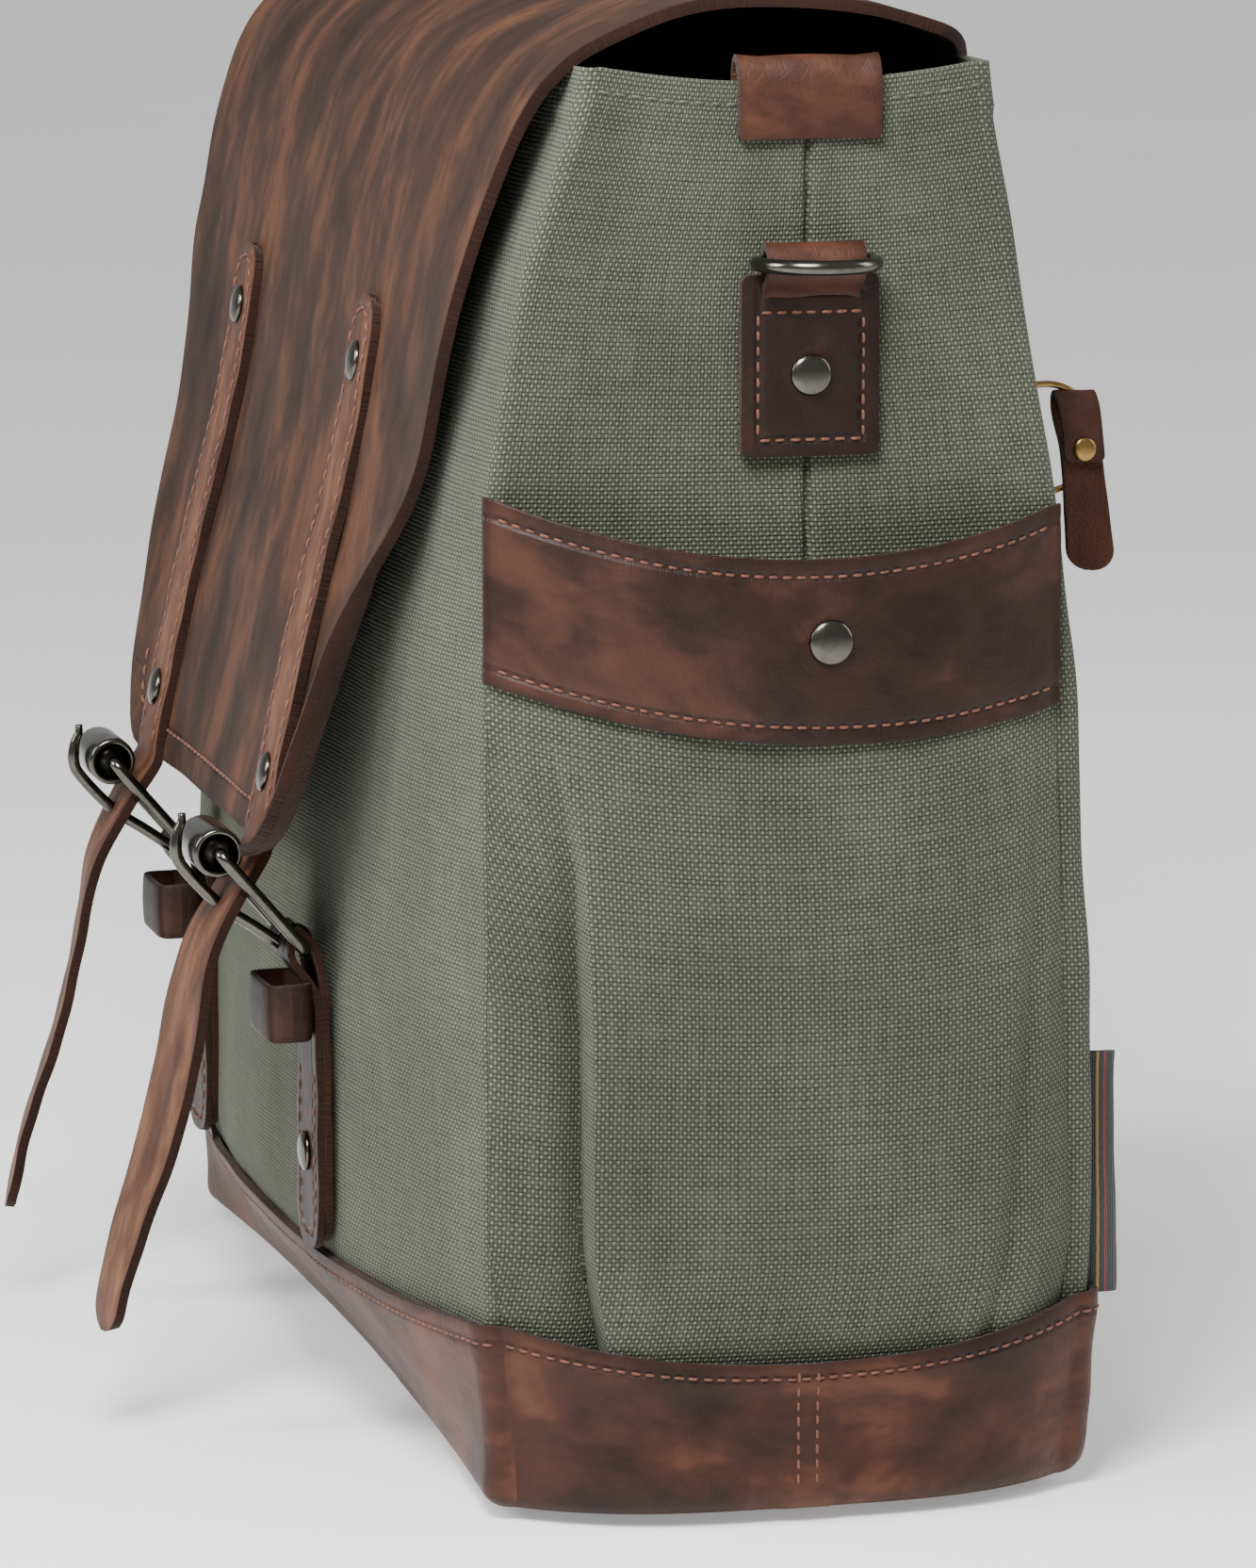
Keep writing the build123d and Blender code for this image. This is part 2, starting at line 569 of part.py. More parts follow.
ring_centre = (RING_X, EYE_Y + RING_R, ZIP_Z)
with BuildPart() as pull_ring:
    with Locations(Location(ring_centre, (0, 90, 0))):
        Torus(RING_R, RING_WIRE / 2)
save(pull_ring, "pull_ring")

FOB_WIDTH, FOB_LENGTH, FOB_THICK = 12.0, 41.0, 3.0
fob_y = ring_centre[1]
fold_z = ZIP_Z + RING_R - 0.6
with BuildPart() as fob:
    with BuildSketch(Plane.XZ.offset(-fob_y - FOB_WIDTH / 2)):
        with Locations((RING_X, fold_z)):
            Circle(4.2)
        with Locations((RING_X + 4.2 - FOB_THICK / 2, fold_z - FOB_LENGTH / 2)):
            Rectangle(FOB_THICK, FOB_LENGTH)
        with Locations((RING_X, fold_z)):
            Circle(2.6, mode=Mode.SUBTRACT)
    extrude(amount=FOB_WIDTH)
    fillet(fob.edges().filter_by(Axis.X).group_by(Axis.Z)[0], 4.5)
save(fob, "fob")
with BuildPart() as fob_rivet:
    with BuildSketch(Plane.YZ.offset(RING_X + 4.25)):
        with Locations((fob_y, fold_z - 10.0)):
            Circle(3.0)
    extrude(amount=1.4)
    fillet(fob_rivet.faces().sort_by(Axis.X)[-1].edges(), 0.9)
save(fob_rivet, "fob_rivet")
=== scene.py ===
from math import pi

import bmesh
import bpy
import numpy as np
from mathutils import Matrix, Vector


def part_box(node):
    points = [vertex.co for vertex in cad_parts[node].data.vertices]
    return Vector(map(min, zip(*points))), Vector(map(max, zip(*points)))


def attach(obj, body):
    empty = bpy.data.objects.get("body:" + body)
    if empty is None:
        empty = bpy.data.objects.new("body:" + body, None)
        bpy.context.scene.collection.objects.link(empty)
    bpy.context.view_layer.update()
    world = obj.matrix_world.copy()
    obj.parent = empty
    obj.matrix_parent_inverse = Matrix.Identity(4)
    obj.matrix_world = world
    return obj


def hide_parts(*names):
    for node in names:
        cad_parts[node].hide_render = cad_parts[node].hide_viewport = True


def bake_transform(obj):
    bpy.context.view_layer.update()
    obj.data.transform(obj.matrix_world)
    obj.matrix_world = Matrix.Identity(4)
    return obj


# Messenger bag. All sizes below are millimetres in the shared frame: +X the bag's right end,
# -Y its front, +Z up. Places come from the CAD nodes' boxes.
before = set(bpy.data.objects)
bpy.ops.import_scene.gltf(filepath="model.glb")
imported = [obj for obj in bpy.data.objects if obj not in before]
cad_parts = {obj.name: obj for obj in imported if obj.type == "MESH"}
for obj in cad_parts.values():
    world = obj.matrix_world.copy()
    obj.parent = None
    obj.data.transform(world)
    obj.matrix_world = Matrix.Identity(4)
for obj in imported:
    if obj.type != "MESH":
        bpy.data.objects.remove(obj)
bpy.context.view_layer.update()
MM = 0.001
SIDES = (("right", 1), ("left", -1))


def box(node):
    """Lowest and highest corner of a CAD node, in millimetres."""
    low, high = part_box(node)
    return np.array(low) / MM, np.array(high) / MM


def middle(node):
    low, high = box(node)
    return (low + high) / 2


# ---- small maths
def fade(x, low, high):
    """0 before low, 1 after high, smooth between."""
    t = np.clip((np.asarray(x, float) - low) / (high - low), 0, 1)
    return t * t * (3 - 2 * t)


def ridge(x, at, width):
    """A smooth bump of height 1."""
    return np.exp(-(((x - at) / width) ** 2))


def ripple(a, b, length, seed):
    """Soft random relief from about -1 to 1: waves in random directions."""
    rng = np.random.default_rng(seed)
    total = 0
    for _ in range(8):
        turn, phase, stretch = rng.uniform((0, 0, 0.7), (2 * pi, 2 * pi, 1.7))
        total = total + np.sin((a * np.cos(turn) + b * np.sin(turn)) * 2 * pi / (length * stretch)
                               + phase)
    return total / 4


def unit(v):
    return v / np.maximum(np.linalg.norm(v, axis=-1, keepdims=True), 1e-9)


class Run:
    """A smooth curve through points, measured by the distance along it."""

    def __init__(self, points):
        p = np.array(points, float)
        p = np.vstack([2 * p[0] - p[1], p, 2 * p[-1] - p[-2]])
        t = np.linspace(0, 1, 24, endpoint=False)[:, None]
        spans = [0.5 * (2 * b + (c - a) * t + (2 * a - 5 * b + 4 * c - d) * t**2
                        + (3 * b - a - 3 * c + d) * t**3)
                 for a, b, c, d in zip(p, p[1:], p[2:], p[3:])]
        self.points = np.vstack(spans + [p[-2:-1]])
        steps = np.linalg.norm(np.diff(self.points, axis=0), axis=1)
        self.places = np.concatenate([[0], np.cumsum(steps)])
        self.length = self.places[-1]

    def at(self, s):
        return np.stack([np.interp(s, self.places, c) for c in self.points.T], axis=-1)

    def along(self, s):
        s = np.asarray(s, float)
        return unit(self.at(np.minimum(s + 1, self.length)) - self.at(np.maximum(s - 1, 0)))


def spaced(length, step, start=0.0, end=0.0):
    """Distances from 0 to length, closer together over rounded ends of those radii."""
    turn = np.linspace(0, pi / 2, 8)[:-1]
    head = start * (1 - np.cos(turn)) if start else np.array([0.0])
    tail = length - end * (1 - np.cos(turn)) if end else np.array([length])
    count = max(int((length - start - end) / step), 2)
    return np.unique(np.concatenate([head, np.linspace(start, length - end, count + 1), tail]))


def rounded(s, length, half, start=0.0, end=0.0):
    """Half-width along a strip whose end corners have those radii."""
    width = np.broadcast_to(half, s.shape).astype(float).copy()
    for radius, d in ((start, s), (end, length - s)):
        if radius:
            inside = np.clip(radius - d, 0, radius)
            width -= radius - np.sqrt(np.maximum(radius**2 - inside**2, 0))
    return width


# ---- meshes
def mesh_object(name, vertices, faces, materials, smooth=True):
    mesh = bpy.data.meshes.new(name)
    mesh.from_pydata((np.asarray(vertices) * MM).tolist(), [], faces)
    for material in materials:
        mesh.materials.append(material)
    mesh.polygons.foreach_set("use_smooth", [smooth] * len(mesh.polygons))
    made = bpy.data.objects.new(name, mesh)
    bpy.context.scene.collection.objects.link(made)
    return made


def bake(obj):
    """Turns an object's modifiers into its mesh."""
    done = bpy.data.meshes.new_from_object(
        obj.evaluated_get(bpy.context.evaluated_depsgraph_get()))
    obj.modifiers.clear()
    obj.data = done
    return obj


class Sheet:
    """A grid of points on a sheet's outer face. Rows and columns are places on it in mm."""

    def __init__(self, rows, columns, points, closed=False):
        self.rows = np.asarray(rows, float)
        self.columns = np.broadcast_to(columns, points.shape[:2]).astype(float)
        self.points, self.closed = points, closed
        wide = np.concatenate([points[:, -1:], points, points[:, :1]], 1) if closed else points
        d_col = np.gradient(wide, axis=1)[:, 1:-1] if closed else np.gradient(points, axis=1)
        self.normals = unit(np.cross(d_col, np.gradient(points, axis=0)))

    def at(self, row, column):
        """Point and normal at a row and column."""
        row, column = np.broadcast_arrays(np.asarray(row, float), np.asarray(column, float))
        i = np.clip(np.searchsorted(self.rows, row) - 1, 0, len(self.rows) - 2)
        t = np.clip((row - self.rows[i]) / (self.rows[i + 1] - self.rows[i]), 0, 1)
        out = []
        for grid in (self.points, self.normals):
            pair = [np.stack([[np.interp(c, self.columns[k], grid[k, :, axis])
                               for axis in range(3)] for k, c in zip(i + step, column)])
                    for step in (0, 1)]
            out.append(pair[0] * (1 - t)[:, None] + pair[1] * t[:, None])
        return out[0], unit(out[1])

    def build(self, name, thick, materials, seam=None, edge=None, bevel=None):
        """The sheet as a solid: materials are the outer face, the inner face and the cut edge.
        seam and edge are distances to the stitched line's edge and to the nearest cut edge."""
        rows, cols = self.points.shape[:2]
        if self.closed:
            columns = np.column_stack([self.columns, self.columns[:, -1]
                                       + np.linalg.norm(self.points[:, 0] - self.points[:, -1],
                                                        axis=-1)])
        else:
            columns = self.columns
        faces, maps, seams = [], [], []
        far = np.full((rows, columns.shape[1]), 50.0)
        seam = far if seam is None else np.broadcast_to(seam, far.shape)
        edge = far if edge is None else np.broadcast_to(edge, far.shape)
        for r in range(rows - 1):
            for c in range(columns.shape[1] - 1):
                ring = [(r, c), (r, c + 1), (r + 1, c + 1), (r + 1, c)]
                faces.append([i * cols + j % cols for i, j in ring])
                maps += [(columns[i, j] * MM, self.rows[i] * MM) for i, j in ring]
                seams += [(seam[i, j], edge[i, j]) for i, j in ring]
        made = mesh_object(name, self.points.reshape(-1, 3), faces, materials)
        for layer, values in (("UVMap", maps), ("edge", seams)):
            made.data.uv_layers.new(name=layer).data.foreach_set("uv", np.ravel(values))
        thicken = made.modifiers.new("thickness", "SOLIDIFY")
        thicken.thickness = thick * MM
        thicken.offset = -1
        thicken.material_offset = 1 if len(materials) > 1 else 0
        thicken.material_offset_rim = 2 if len(materials) > 2 else 0
        soften = made.modifiers.new("soft edges", "BEVEL")
        soften.width = (bevel or thick * 0.3) * MM
        soften.segments = 3
        soften.limit_method = "ANGLE"
        soften.angle_limit = 0.9
        return bake(made)


def ribbon(run, s, across, half, thick, relief=None, columns=10):
    """A strip of sheet along a run, half its half-width at each distance s."""
    across = np.array(across, float)
    normal = unit(np.cross(across, run.along(s)))
    half = np.broadcast_to(half, s.shape)
    w = half[:, None] * np.linspace(-1, 1, columns + 1)
    lift = np.full(w.shape, thick / 2)
    if relief:
        lift = lift + relief(s[:, None], w, half[:, None])
    points = run.at(s)[:, None] + across * w[..., None] + normal[:, None] * lift[..., None]
    return Sheet(s, w, points)


def belt(run, step, across, half, thick, relief, columns, ends=(0, 0)):
    """A strip along a whole run, its corners rounded to the radii in ends."""
    s = spaced(run.length, step, *ends)
    return ribbon(run, s, across, rounded(s, run.length, half, *ends), thick, relief, columns)


def strip_edges(sheet):
    """Distance from each place on a strip to its nearest cut edge."""
    half = np.abs(sheet.columns).max(1, keepdims=True)
    ends = np.minimum(sheet.rows - sheet.rows[0], sheet.rows[-1] - sheet.rows)[:, None]
    return np.minimum(half - np.abs(sheet.columns), ends)


def stitches(name, sheets, thread, pitch, length, wide):
    """Rows of stitches. sheets is a list of (sheet, rows, columns) with places to sew through."""
    turn = np.linspace(0, 2 * pi, 7)[:-1]
    t = np.linspace(-1, 1, 6)
    swell = np.sqrt(np.maximum(1 - t**4, 0.02))
    template = np.stack([np.broadcast_to(t[:, None] * length / 2, (6, 6)),
                         np.outer(swell * wide, np.cos(turn)),
                         np.outer(swell * wide, np.sin(turn)) * 0.8
                         + (0.35 - 0.75 * t[:, None] ** 2) * wide], -1).reshape(-1, 3)
    vertices, faces = [], []
    rng = np.random.default_rng(len(name))
    for sheet, rows, columns in sheets:
        points, normals = sheet.at(rows, columns)
        places = np.concatenate([[0], np.cumsum(np.linalg.norm(np.diff(points, axis=0), axis=1))])
        for s in np.arange(pitch / 2, places[-1], pitch):
            s = s + rng.uniform(-0.15, 0.15)
            near = [np.array([np.interp(q, places, c) for c in points.T])
                    for q in (s - 0.8, s, s + 0.8)]
            n = unit(np.array([np.interp(s, places, c) for c in normals.T]))
            x = unit(near[2] - near[0])
            y = unit(np.cross(n, x) + 0.12 * x)
            spot = template * rng.uniform(0.93, 1.07)
            base = len(vertices) * 36
            vertices.append(near[1] + spot @ np.array([x, y, n]))
            for i in range(5):
                faces += [(base + i * 6 + j, base + i * 6 + (j + 1) % 6,
                           base + i * 6 + 6 + (j + 1) % 6, base + i * 6 + 6 + j)
                          for j in range(6)]
            faces += [tuple(base + j for j in range(5, -1, -1)),
                      tuple(base + 30 + j for j in range(6))]
    return mesh_object(name, np.vstack(vertices), faces, [thread])


def barrel(rings, sides):
    """Faces of a closed barrel made of rings of points."""
    faces = [(i * sides + j, i * sides + (j + 1) % sides,
              (i + 1) * sides + (j + 1) % sides, (i + 1) * sides + j)
             for i in range(rings - 1) for j in range(sides)]
    last = (rings - 1) * sides
    return faces + [tuple(range(sides - 1, -1, -1)), tuple(range(last, last + sides))]


def tube(name, points, radii, material, sides=18):
    """A round bar through points."""
    p = np.array(points, float)
    t = unit(np.gradient(p, axis=0))
    side = unit(np.cross(t, t[len(t) // 3] + np.array([0.31, 0.17, 0.93])))
    for i in range(1, len(p)):
        side[i] = unit(side[i - 1] - t[i] * np.dot(side[i - 1], t[i]))
    other = np.cross(t, side)
    turn = np.linspace(0, 2 * pi, sides + 1)[:-1]
    r = np.broadcast_to(radii, (len(p),))[:, None, None]
    rings = p[:, None] + r * (side[:, None] * np.cos(turn)[:, None]
                              + other[:, None] * np.sin(turn)[:, None])
    return mesh_object(name, rings.reshape(-1, 3), barrel(len(p), sides), [material])


def lathe(name, outline, origin, axis, material, sides=48):
    """A turned piece: outline is (radius, height) pairs, height along axis from origin."""
    axis = unit(np.array(axis, float))
    x = unit(np.cross(axis, (0.3, 0.2, 0.9)))
    y = np.cross(axis, x)
    turn = np.linspace(0, 2 * pi, sides + 1)[:-1]
    vertices = [np.array(origin) + axis * h + max(r, 0.001) * (x * np.cos(a) + y * np.sin(a))
                for r, h in outline for a in turn]
    return mesh_object(name, vertices, barrel(len(outline), sides), [material])


def dome(name, origin, axis, radius, height, material):
    """A cap rivet: a flat rim and a domed face."""
    curve = [(radius * np.cos(a), height * (0.35 + 0.65 * np.sin(a)))
             for a in np.linspace(0, pi / 2, 12)]
    return lathe(name, [(radius * 0.9, 0.0), (radius, 0.12 * height)] + curve, origin, axis,
                 material)


# ---- materials
class Paint:
    """A material under construction."""

    def __init__(self, name, coords="UV"):
        self.material = bpy.data.materials.new(name)
        self.material.use_nodes = True
        self.tree = self.material.node_tree
        self.tree.nodes.clear()
        source = self.tree.nodes.new("ShaderNodeTexCoord")
        self.place = source.outputs[coords]

    def node(self, kind, inputs, out=0, **settings):
        made = self.tree.nodes.new("ShaderNode" + kind)
        for key, value in settings.items():
            setattr(made, key, value)
        for key, value in inputs.items():
            if isinstance(value, bpy.types.NodeSocket):
                self.tree.links.new(value, made.inputs[key])
            else:
                made.inputs[key].default_value = value
        return made.outputs[out]

    def math(self, operation, a, b=0.0, clamp=False):
        return self.node("Math", {0: a, 1: b}, operation=operation, use_clamp=clamp)

    def plus(self, a, b, share=1.0):
        """a + b * share."""
        return self.math("ADD", a, b if share == 1.0 else self.times(b, share))

    def times(self, a, b):
        return self.math("MULTIPLY", a, b)

    def axis(self, name):
        return self.node("SeparateXYZ", {0: self.place}, out="XYZ".index(name))

    def stretch(self, x, y, z=1.0):
        return self.node("Mapping", {"Vector": self.place, "Scale": (x, y, z)})

    def noise(self, x, y, z=1.0, detail=4.0, rough=0.55, twist=0.0):
        """Soft noise with x, y and z ripples to the metre."""
        return self.node("TexNoise", {"Vector": self.stretch(x, y, z), "Scale": 1.0,
                                      "Detail": detail, "Roughness": rough,
                                      "Distortion": twist})

    def cells(self, where, scale, feature="F1"):
        return self.node("TexVoronoi", {"Vector": where, "Scale": scale}, feature=feature)

    def remap(self, value, low, high, to_low=0.0, to_high=1.0):
        return self.node("MapRange", {0: value, 1: low, 2: high, 3: to_low, 4: to_high},
                         interpolation_type="SMOOTHSTEP")

    def ramp(self, value, stops):
        made = self.tree.nodes.new("ShaderNodeValToRGB")
        self.tree.links.new(value, made.inputs[0])
        points = made.color_ramp.elements
        while len(points) < len(stops):
            points.new(0.5)
        for point, (at, colour) in zip(points, stops):
            point.position = at
            point.color = (*colour, 1)
        return made.outputs[0]

    def mix(self, amount, a, b, blend="MIX"):
        def colour(c):
            return c if isinstance(c, bpy.types.NodeSocket) else (*c, 1)
        return self.node("Mix", {0: amount, 6: colour(a), 7: colour(b)}, out=2,
                         data_type="RGBA", blend_type=blend)

    def bump(self, height, strength, depth, normal=None):
        inputs = {"Height": height, "Strength": strength, "Distance": depth * MM}
        if normal:
            inputs["Normal"] = normal
        return self.node("Bump", inputs)

    def edge(self, axis):
        """Distance in mm to the stitched edge (X) or the nearest cut edge (Y)."""
        spread = self.node("UVMap", {}, uv_map="edge")
        return self.node("SeparateXYZ", {0: spread}, out="XY".index(axis))

    def done(self, **inputs):
        shader = self.node("BsdfPrincipled",
                           {key.replace("_", " "): value for key, value in inputs.items()})
        output = self.tree.nodes.new("ShaderNodeOutputMaterial")
        self.tree.links.new(shader, output.inputs["Surface"])
        return self.material


def woven(name, light, dark, warp=0.98, weft=1.06, coords="UV", depth=0.5):
    """Plain-weave cloth: warp and weft are the yarn spacings in mm."""
    p = Paint(name, coords)
    wander = p.noise(260, 260, detail=2.0)
    u, v = p.axis("X"), p.axis("Y")
    if coords == "Object":
        u, v = p.plus(u, v), p.axis("Z")
    shift = p.times(wander, 0.00042)
    waves = [p.math("COSINE", p.times(p.plus(w, shift), pi / (pitch * MM)))
             for w, pitch in ((u, warp), (v, weft))]
    cross = p.times(*waves)
    over = p.math("MAXIMUM", cross, 0.0)
    under = p.times(p.math("MINIMUM", cross, 0.0), -0.2)
    knuckle = p.math("POWER", p.plus(over, under), 0.62)
    slubs = p.plus(p.noise(1100, 55, detail=3.0), p.noise(55, 1100, detail=3.0))
    uneven = p.times(p.math("SUBTRACT", slubs, 1.0), 0.34)
    fluff = p.noise(2600, 2600, detail=2.0)
    # the yarns' crowns are coloured lighter and the hollows between them darker, after the weave's
    # relief: painted light and shade; the slubs, fluff and clouds are the yarn's own uneven tone
    tone = p.plus(uneven, knuckle, 0.95)
    tone = p.math("ADD", tone, p.times(fluff, 0.22), clamp=True)
    half = tuple((a + b) / 2 for a, b in zip(light, dark))
    colour = p.ramp(tone, [(0.08, dark), (0.5, half), (0.9, light)])
    cloudy = p.remap(p.noise(22, 17, detail=5.0), 0.3, 0.7, 0.84, 1.12)
    colour = p.mix(1.0, colour, p.node("CombineXYZ", {0: cloudy, 1: cloudy, 2: cloudy}),
                   "MULTIPLY")
    height = p.plus(knuckle, uneven, 0.6)
    return p.done(Base_Color=colour, Roughness=0.93, Normal=p.bump(height, 0.85, depth),
                  Sheen_Weight=0.06, Sheen_Roughness=0.6, Specular_IOR_Level=0.15)


def hide(name, deep, mid, pale, streak, groove=None, rough=0.5, contrast=1.0):
    """Waxed pull-up leather: streaks, clouds, scuffs, pores, and a dent under the stitches.
    streak is the scale of the streaks across and along, groove the stitches' distance in mm
    from their edge."""
    p = Paint(name)
    long = p.noise(*streak, detail=6.0, rough=0.62, twist=0.35)
    fine = p.noise(streak[0] * 4, streak[1] * 5, detail=5.0, rough=0.6)
    cloud = p.noise(19, 15, detail=5.0, twist=0.6)
    tone = p.plus(p.times(long, 0.58), fine, 0.12)
    tone = p.plus(tone, cloud, 0.42)
    tone = p.remap(tone, 0.56 - 0.2 * contrast, 0.56 + 0.2 * contrast)
    colour = p.ramp(tone, [(0.05, deep), (0.5, mid), (0.96, pale)])
    scuff = p.remap(p.noise(300, 60, detail=8.0, rough=0.75), 0.6, 0.76)
    colour = p.mix(p.times(scuff, 0.2), colour, pale)
    nick = p.remap(p.noise(38, 460, detail=6.0, rough=0.7, twist=0.8), 0.68, 0.78)
    colour = p.mix(p.times(nick, 0.5), colour, deep)
    pores = p.cells(p.stretch(1, 1), 950.0)
    creases = p.cells(p.stretch(1, 0.7), 260.0, "DISTANCE_TO_EDGE")
    height = p.plus(p.times(pores, 0.35), p.remap(creases, 0.0, 0.06), 0.3)
    height = p.plus(height, p.noise(300, 180), 0.8)
    rim = p.remap(p.edge("Y"), 0.2, 2.4, 1.0, 0.0)
    colour = p.mix(p.times(rim, 0.45), colour, deep)
    normal = p.bump(height, 0.4, 0.35)
    if groove:
        off = p.math("ABSOLUTE", p.math("SUBTRACT", p.edge("X"), groove))
        dent = p.remap(off, 0.2, 1.5, 0.0, 1.0)
        colour = p.mix(p.times(p.math("SUBTRACT", 1.0, dent), 0.35), colour, deep)
        normal = p.bump(dent, 0.8, 0.55, normal)
    gloss = p.plus(rough - 0.1, p.plus(cloud, fine), 0.16)
    return p.done(Base_Color=colour, Roughness=gloss, Normal=normal, Specular_IOR_Level=0.2)


def flesh(name, deep, pale):
    """The rough inner side of leather, and its cut edge."""
    p = Paint(name)
    nap = p.noise(1500, 1500, detail=6.0, rough=0.75)
    tufts = p.cells(p.stretch(1, 1.6), 820.0)
    patch = p.noise(60, 45, detail=4.0)
    tone = p.plus(p.times(nap, 0.6), patch, 0.5)
    colour = p.ramp(tone, [(0.35, deep), (0.75, pale)])
    height = p.plus(nap, tufts)
    return p.done(Base_Color=colour, Roughness=0.95, Normal=p.bump(height, 0.9, 0.5),
                  Sheen_Weight=0.08, Sheen_Roughness=0.5, Specular_IOR_Level=0.1)


def metal(name, base, worn, rough, dirt=0.35):
    """Plated metal with tarnish, fine scratches and finger marks."""
    p = Paint(name, "Object")
    tarnish = p.remap(p.noise(140, 140, 140, detail=6.0, rough=0.7), 0.42, 0.68)
    colour = p.mix(p.times(tarnish, dirt), base, worn)
    hair = p.noise(260, 4200, 900, detail=3.0)
    smear = p.noise(320, 210, 260, detail=3.0)
    gloss = p.plus(rough - 0.06, smear, 0.14)
    gloss = p.plus(gloss, tarnish, 0.1)
    height = p.plus(p.times(hair, 0.25), smear, 0.6)
    return p.done(Base_Color=colour, Metallic=1.0, Roughness=gloss,
                  Normal=p.bump(height, 0.12, 0.12))


def yarn(name, deep, pale):
    """Waxed sewing thread."""
    p = Paint(name, "Object")
    twist = p.noise(1600, 1600, 1600, detail=3.0)
    shade = p.noise(90, 90, 90, detail=3.0)
    tone = p.plus(p.times(twist, 0.6), shade, 0.4)
    return p.done(Base_Color=p.ramp(tone, [(0.3, deep), (0.72, pale)]), Roughness=0.6,
                  Normal=p.bump(twist, 0.7, 0.2), Sheen_Weight=0.05)


def board_like(name, deep, pale, scale, rough, depth):
    """Pressed fibre board, rubberised pad or other grainy solid."""
    p = Paint(name, "Object")
    grain = p.noise(scale, scale, scale, detail=8.0, rough=0.7)
    pits = p.cells(p.stretch(1, 1, 1), scale * 1.7)
    tone = p.plus(p.times(grain, 0.7), pits, 0.4)
    return p.done(Base_Color=p.ramp(tone, [(0.3, deep), (0.8, pale)]),
                  Roughness=p.remap(grain, 0.3, 0.7, rough - 0.08, rough + 0.08),
                  Normal=p.bump(p.plus(grain, pits), 0.6, depth))


def striped_label():
    """Black woven label with two plain stripes along its length."""
    p = Paint("label_weave")
    u, v = p.axis("X"), p.axis("Y")
    ribs = p.math("COSINE", p.times(v, 2 * pi / 0.00055))
    picks = p.math("COSINE", p.times(u, 2 * pi / 0.0008))
    height = p.plus(ribs, picks, 0.5)
    across = p.plus(v, p.noise(500, 500), 0.0003)
    ink = p.ramp(p.noise(1500, 1500), [(0.3, (0.006, 0.006, 0.007)), (0.8, (0.022, 0.022, 0.024))])
    for at, tint in ((0.0062, (0.22, 0.14, 0.02)), (0.0081, (0.13, 0.013, 0.010))):
        off = p.math("ABSOLUTE", p.math("SUBTRACT", across, at))
        ink = p.mix(p.remap(off, 0.00025, 0.0004, 1.0, 0.0), ink, tint)
    return p.done(Base_Color=ink, Roughness=0.75, Normal=p.bump(height, 0.6, 0.12),
                  Sheen_Weight=0.2)


CANVAS = woven("canvas_weave", (0.130, 0.141, 0.096), (0.008, 0.009, 0.006))
INSIDE = woven("canvas_inside", (0.06, 0.064, 0.042), (0.012, 0.013, 0.009))
LINING = woven("lining_weave", (0.032, 0.028, 0.024), (0.010, 0.009, 0.008), 0.4, 0.4, depth=0.1)
LINING_CAD = woven("lining_pocket_weave", (0.036, 0.031, 0.027), (0.011, 0.010, 0.009), 0.4, 0.4,
                   "Object", 0.1)
TAPE = woven("zip_tape_weave", (0.045, 0.035, 0.028), (0.012, 0.010, 0.008), 0.5, 0.62,
             depth=0.15)
# stitch lines' distances in mm from the cut edge
FLAP_SEAM, STRAP_SEAM, BAND_SEAM, BOOT_SEAM = 8.0, 3.6, 4.4, 4.0
DEEP, MID, PALE = (0.010, 0.0035, 0.002), (0.038, 0.0136, 0.007), (0.098, 0.038, 0.0195)
FLAP = hide("flap_leather", (0.009, 0.004, 0.0022), (0.031, 0.0135, 0.0068), (0.088, 0.036, 0.0175),
            (52, 24), groove=FLAP_SEAM, rough=0.6, contrast=1.15)
STRAP = hide("strap_leather", (0.024, 0.0095, 0.005), (0.075, 0.031, 0.0165),
             (0.17, 0.074, 0.040), (90, 26), groove=STRAP_SEAM)
BAND = hide("band_leather", DEEP, (0.022, 0.0086, 0.005), (0.052, 0.0205, 0.0115), (34, 52),
            groove=BAND_SEAM, rough=0.42, contrast=0.95)
BOOT = hide("boot_leather", DEEP, MID, PALE, (24, 42), groove=BOOT_SEAM, rough=0.48)
TAB = hide("tab_leather", DEEP, (0.012, 0.0047, 0.0028), (0.036, 0.0138, 0.0078), (50, 60),
           groove=4.2, rough=0.44)
SMOOTH = hide("patch_leather", (0.021, 0.007, 0.004), (0.052, 0.0185, 0.010),
              (0.085, 0.032, 0.0175), (40, 70))
FLESH = flesh("leather_inside", (0.022, 0.0085, 0.005), (0.095, 0.036, 0.02))
CUT = flesh("leather_cut_edge", (0.008, 0.003, 0.0018), (0.034, 0.0125, 0.007))
THREAD = yarn("copper_thread", (0.050, 0.014, 0.006), (0.17, 0.054, 0.022))
CANVAS_THREAD = yarn("olive_thread", (0.03, 0.033, 0.022), (0.10, 0.106, 0.072))
GUNMETAL = metal("black_nickel", (0.10, 0.094, 0.080), (0.02, 0.018, 0.015), 0.16)
BRASS = metal("antique_brass", (0.30, 0.19, 0.065), (0.07, 0.04, 0.014), 0.28, 0.6)
PAD = board_like("pad_rubberised", (0.016, 0.011, 0.009), (0.05, 0.034, 0.027), 700, 0.7, 0.25)
BOARD = board_like("fibre_board", (0.07, 0.05, 0.035), (0.2, 0.15, 0.1), 420, 0.85, 0.2)
LABEL = striped_label()


def place(obj, body, slot, *nodes):
    """Puts a piece on a body and hides the CAD nodes that it stands for. slot, the piece's material
    slot, is not used.
    """
    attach(obj, body)
    if nodes:
        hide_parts(*nodes)
    return obj


def sew(name, lines, gauge, body="bag", thread=THREAD, slot="leather"):
    """Rows of stitches on a body. gauge is a stitch's pitch, length and half-thickness."""
    place(stitches(name, lines, thread, *gauge), body, slot)


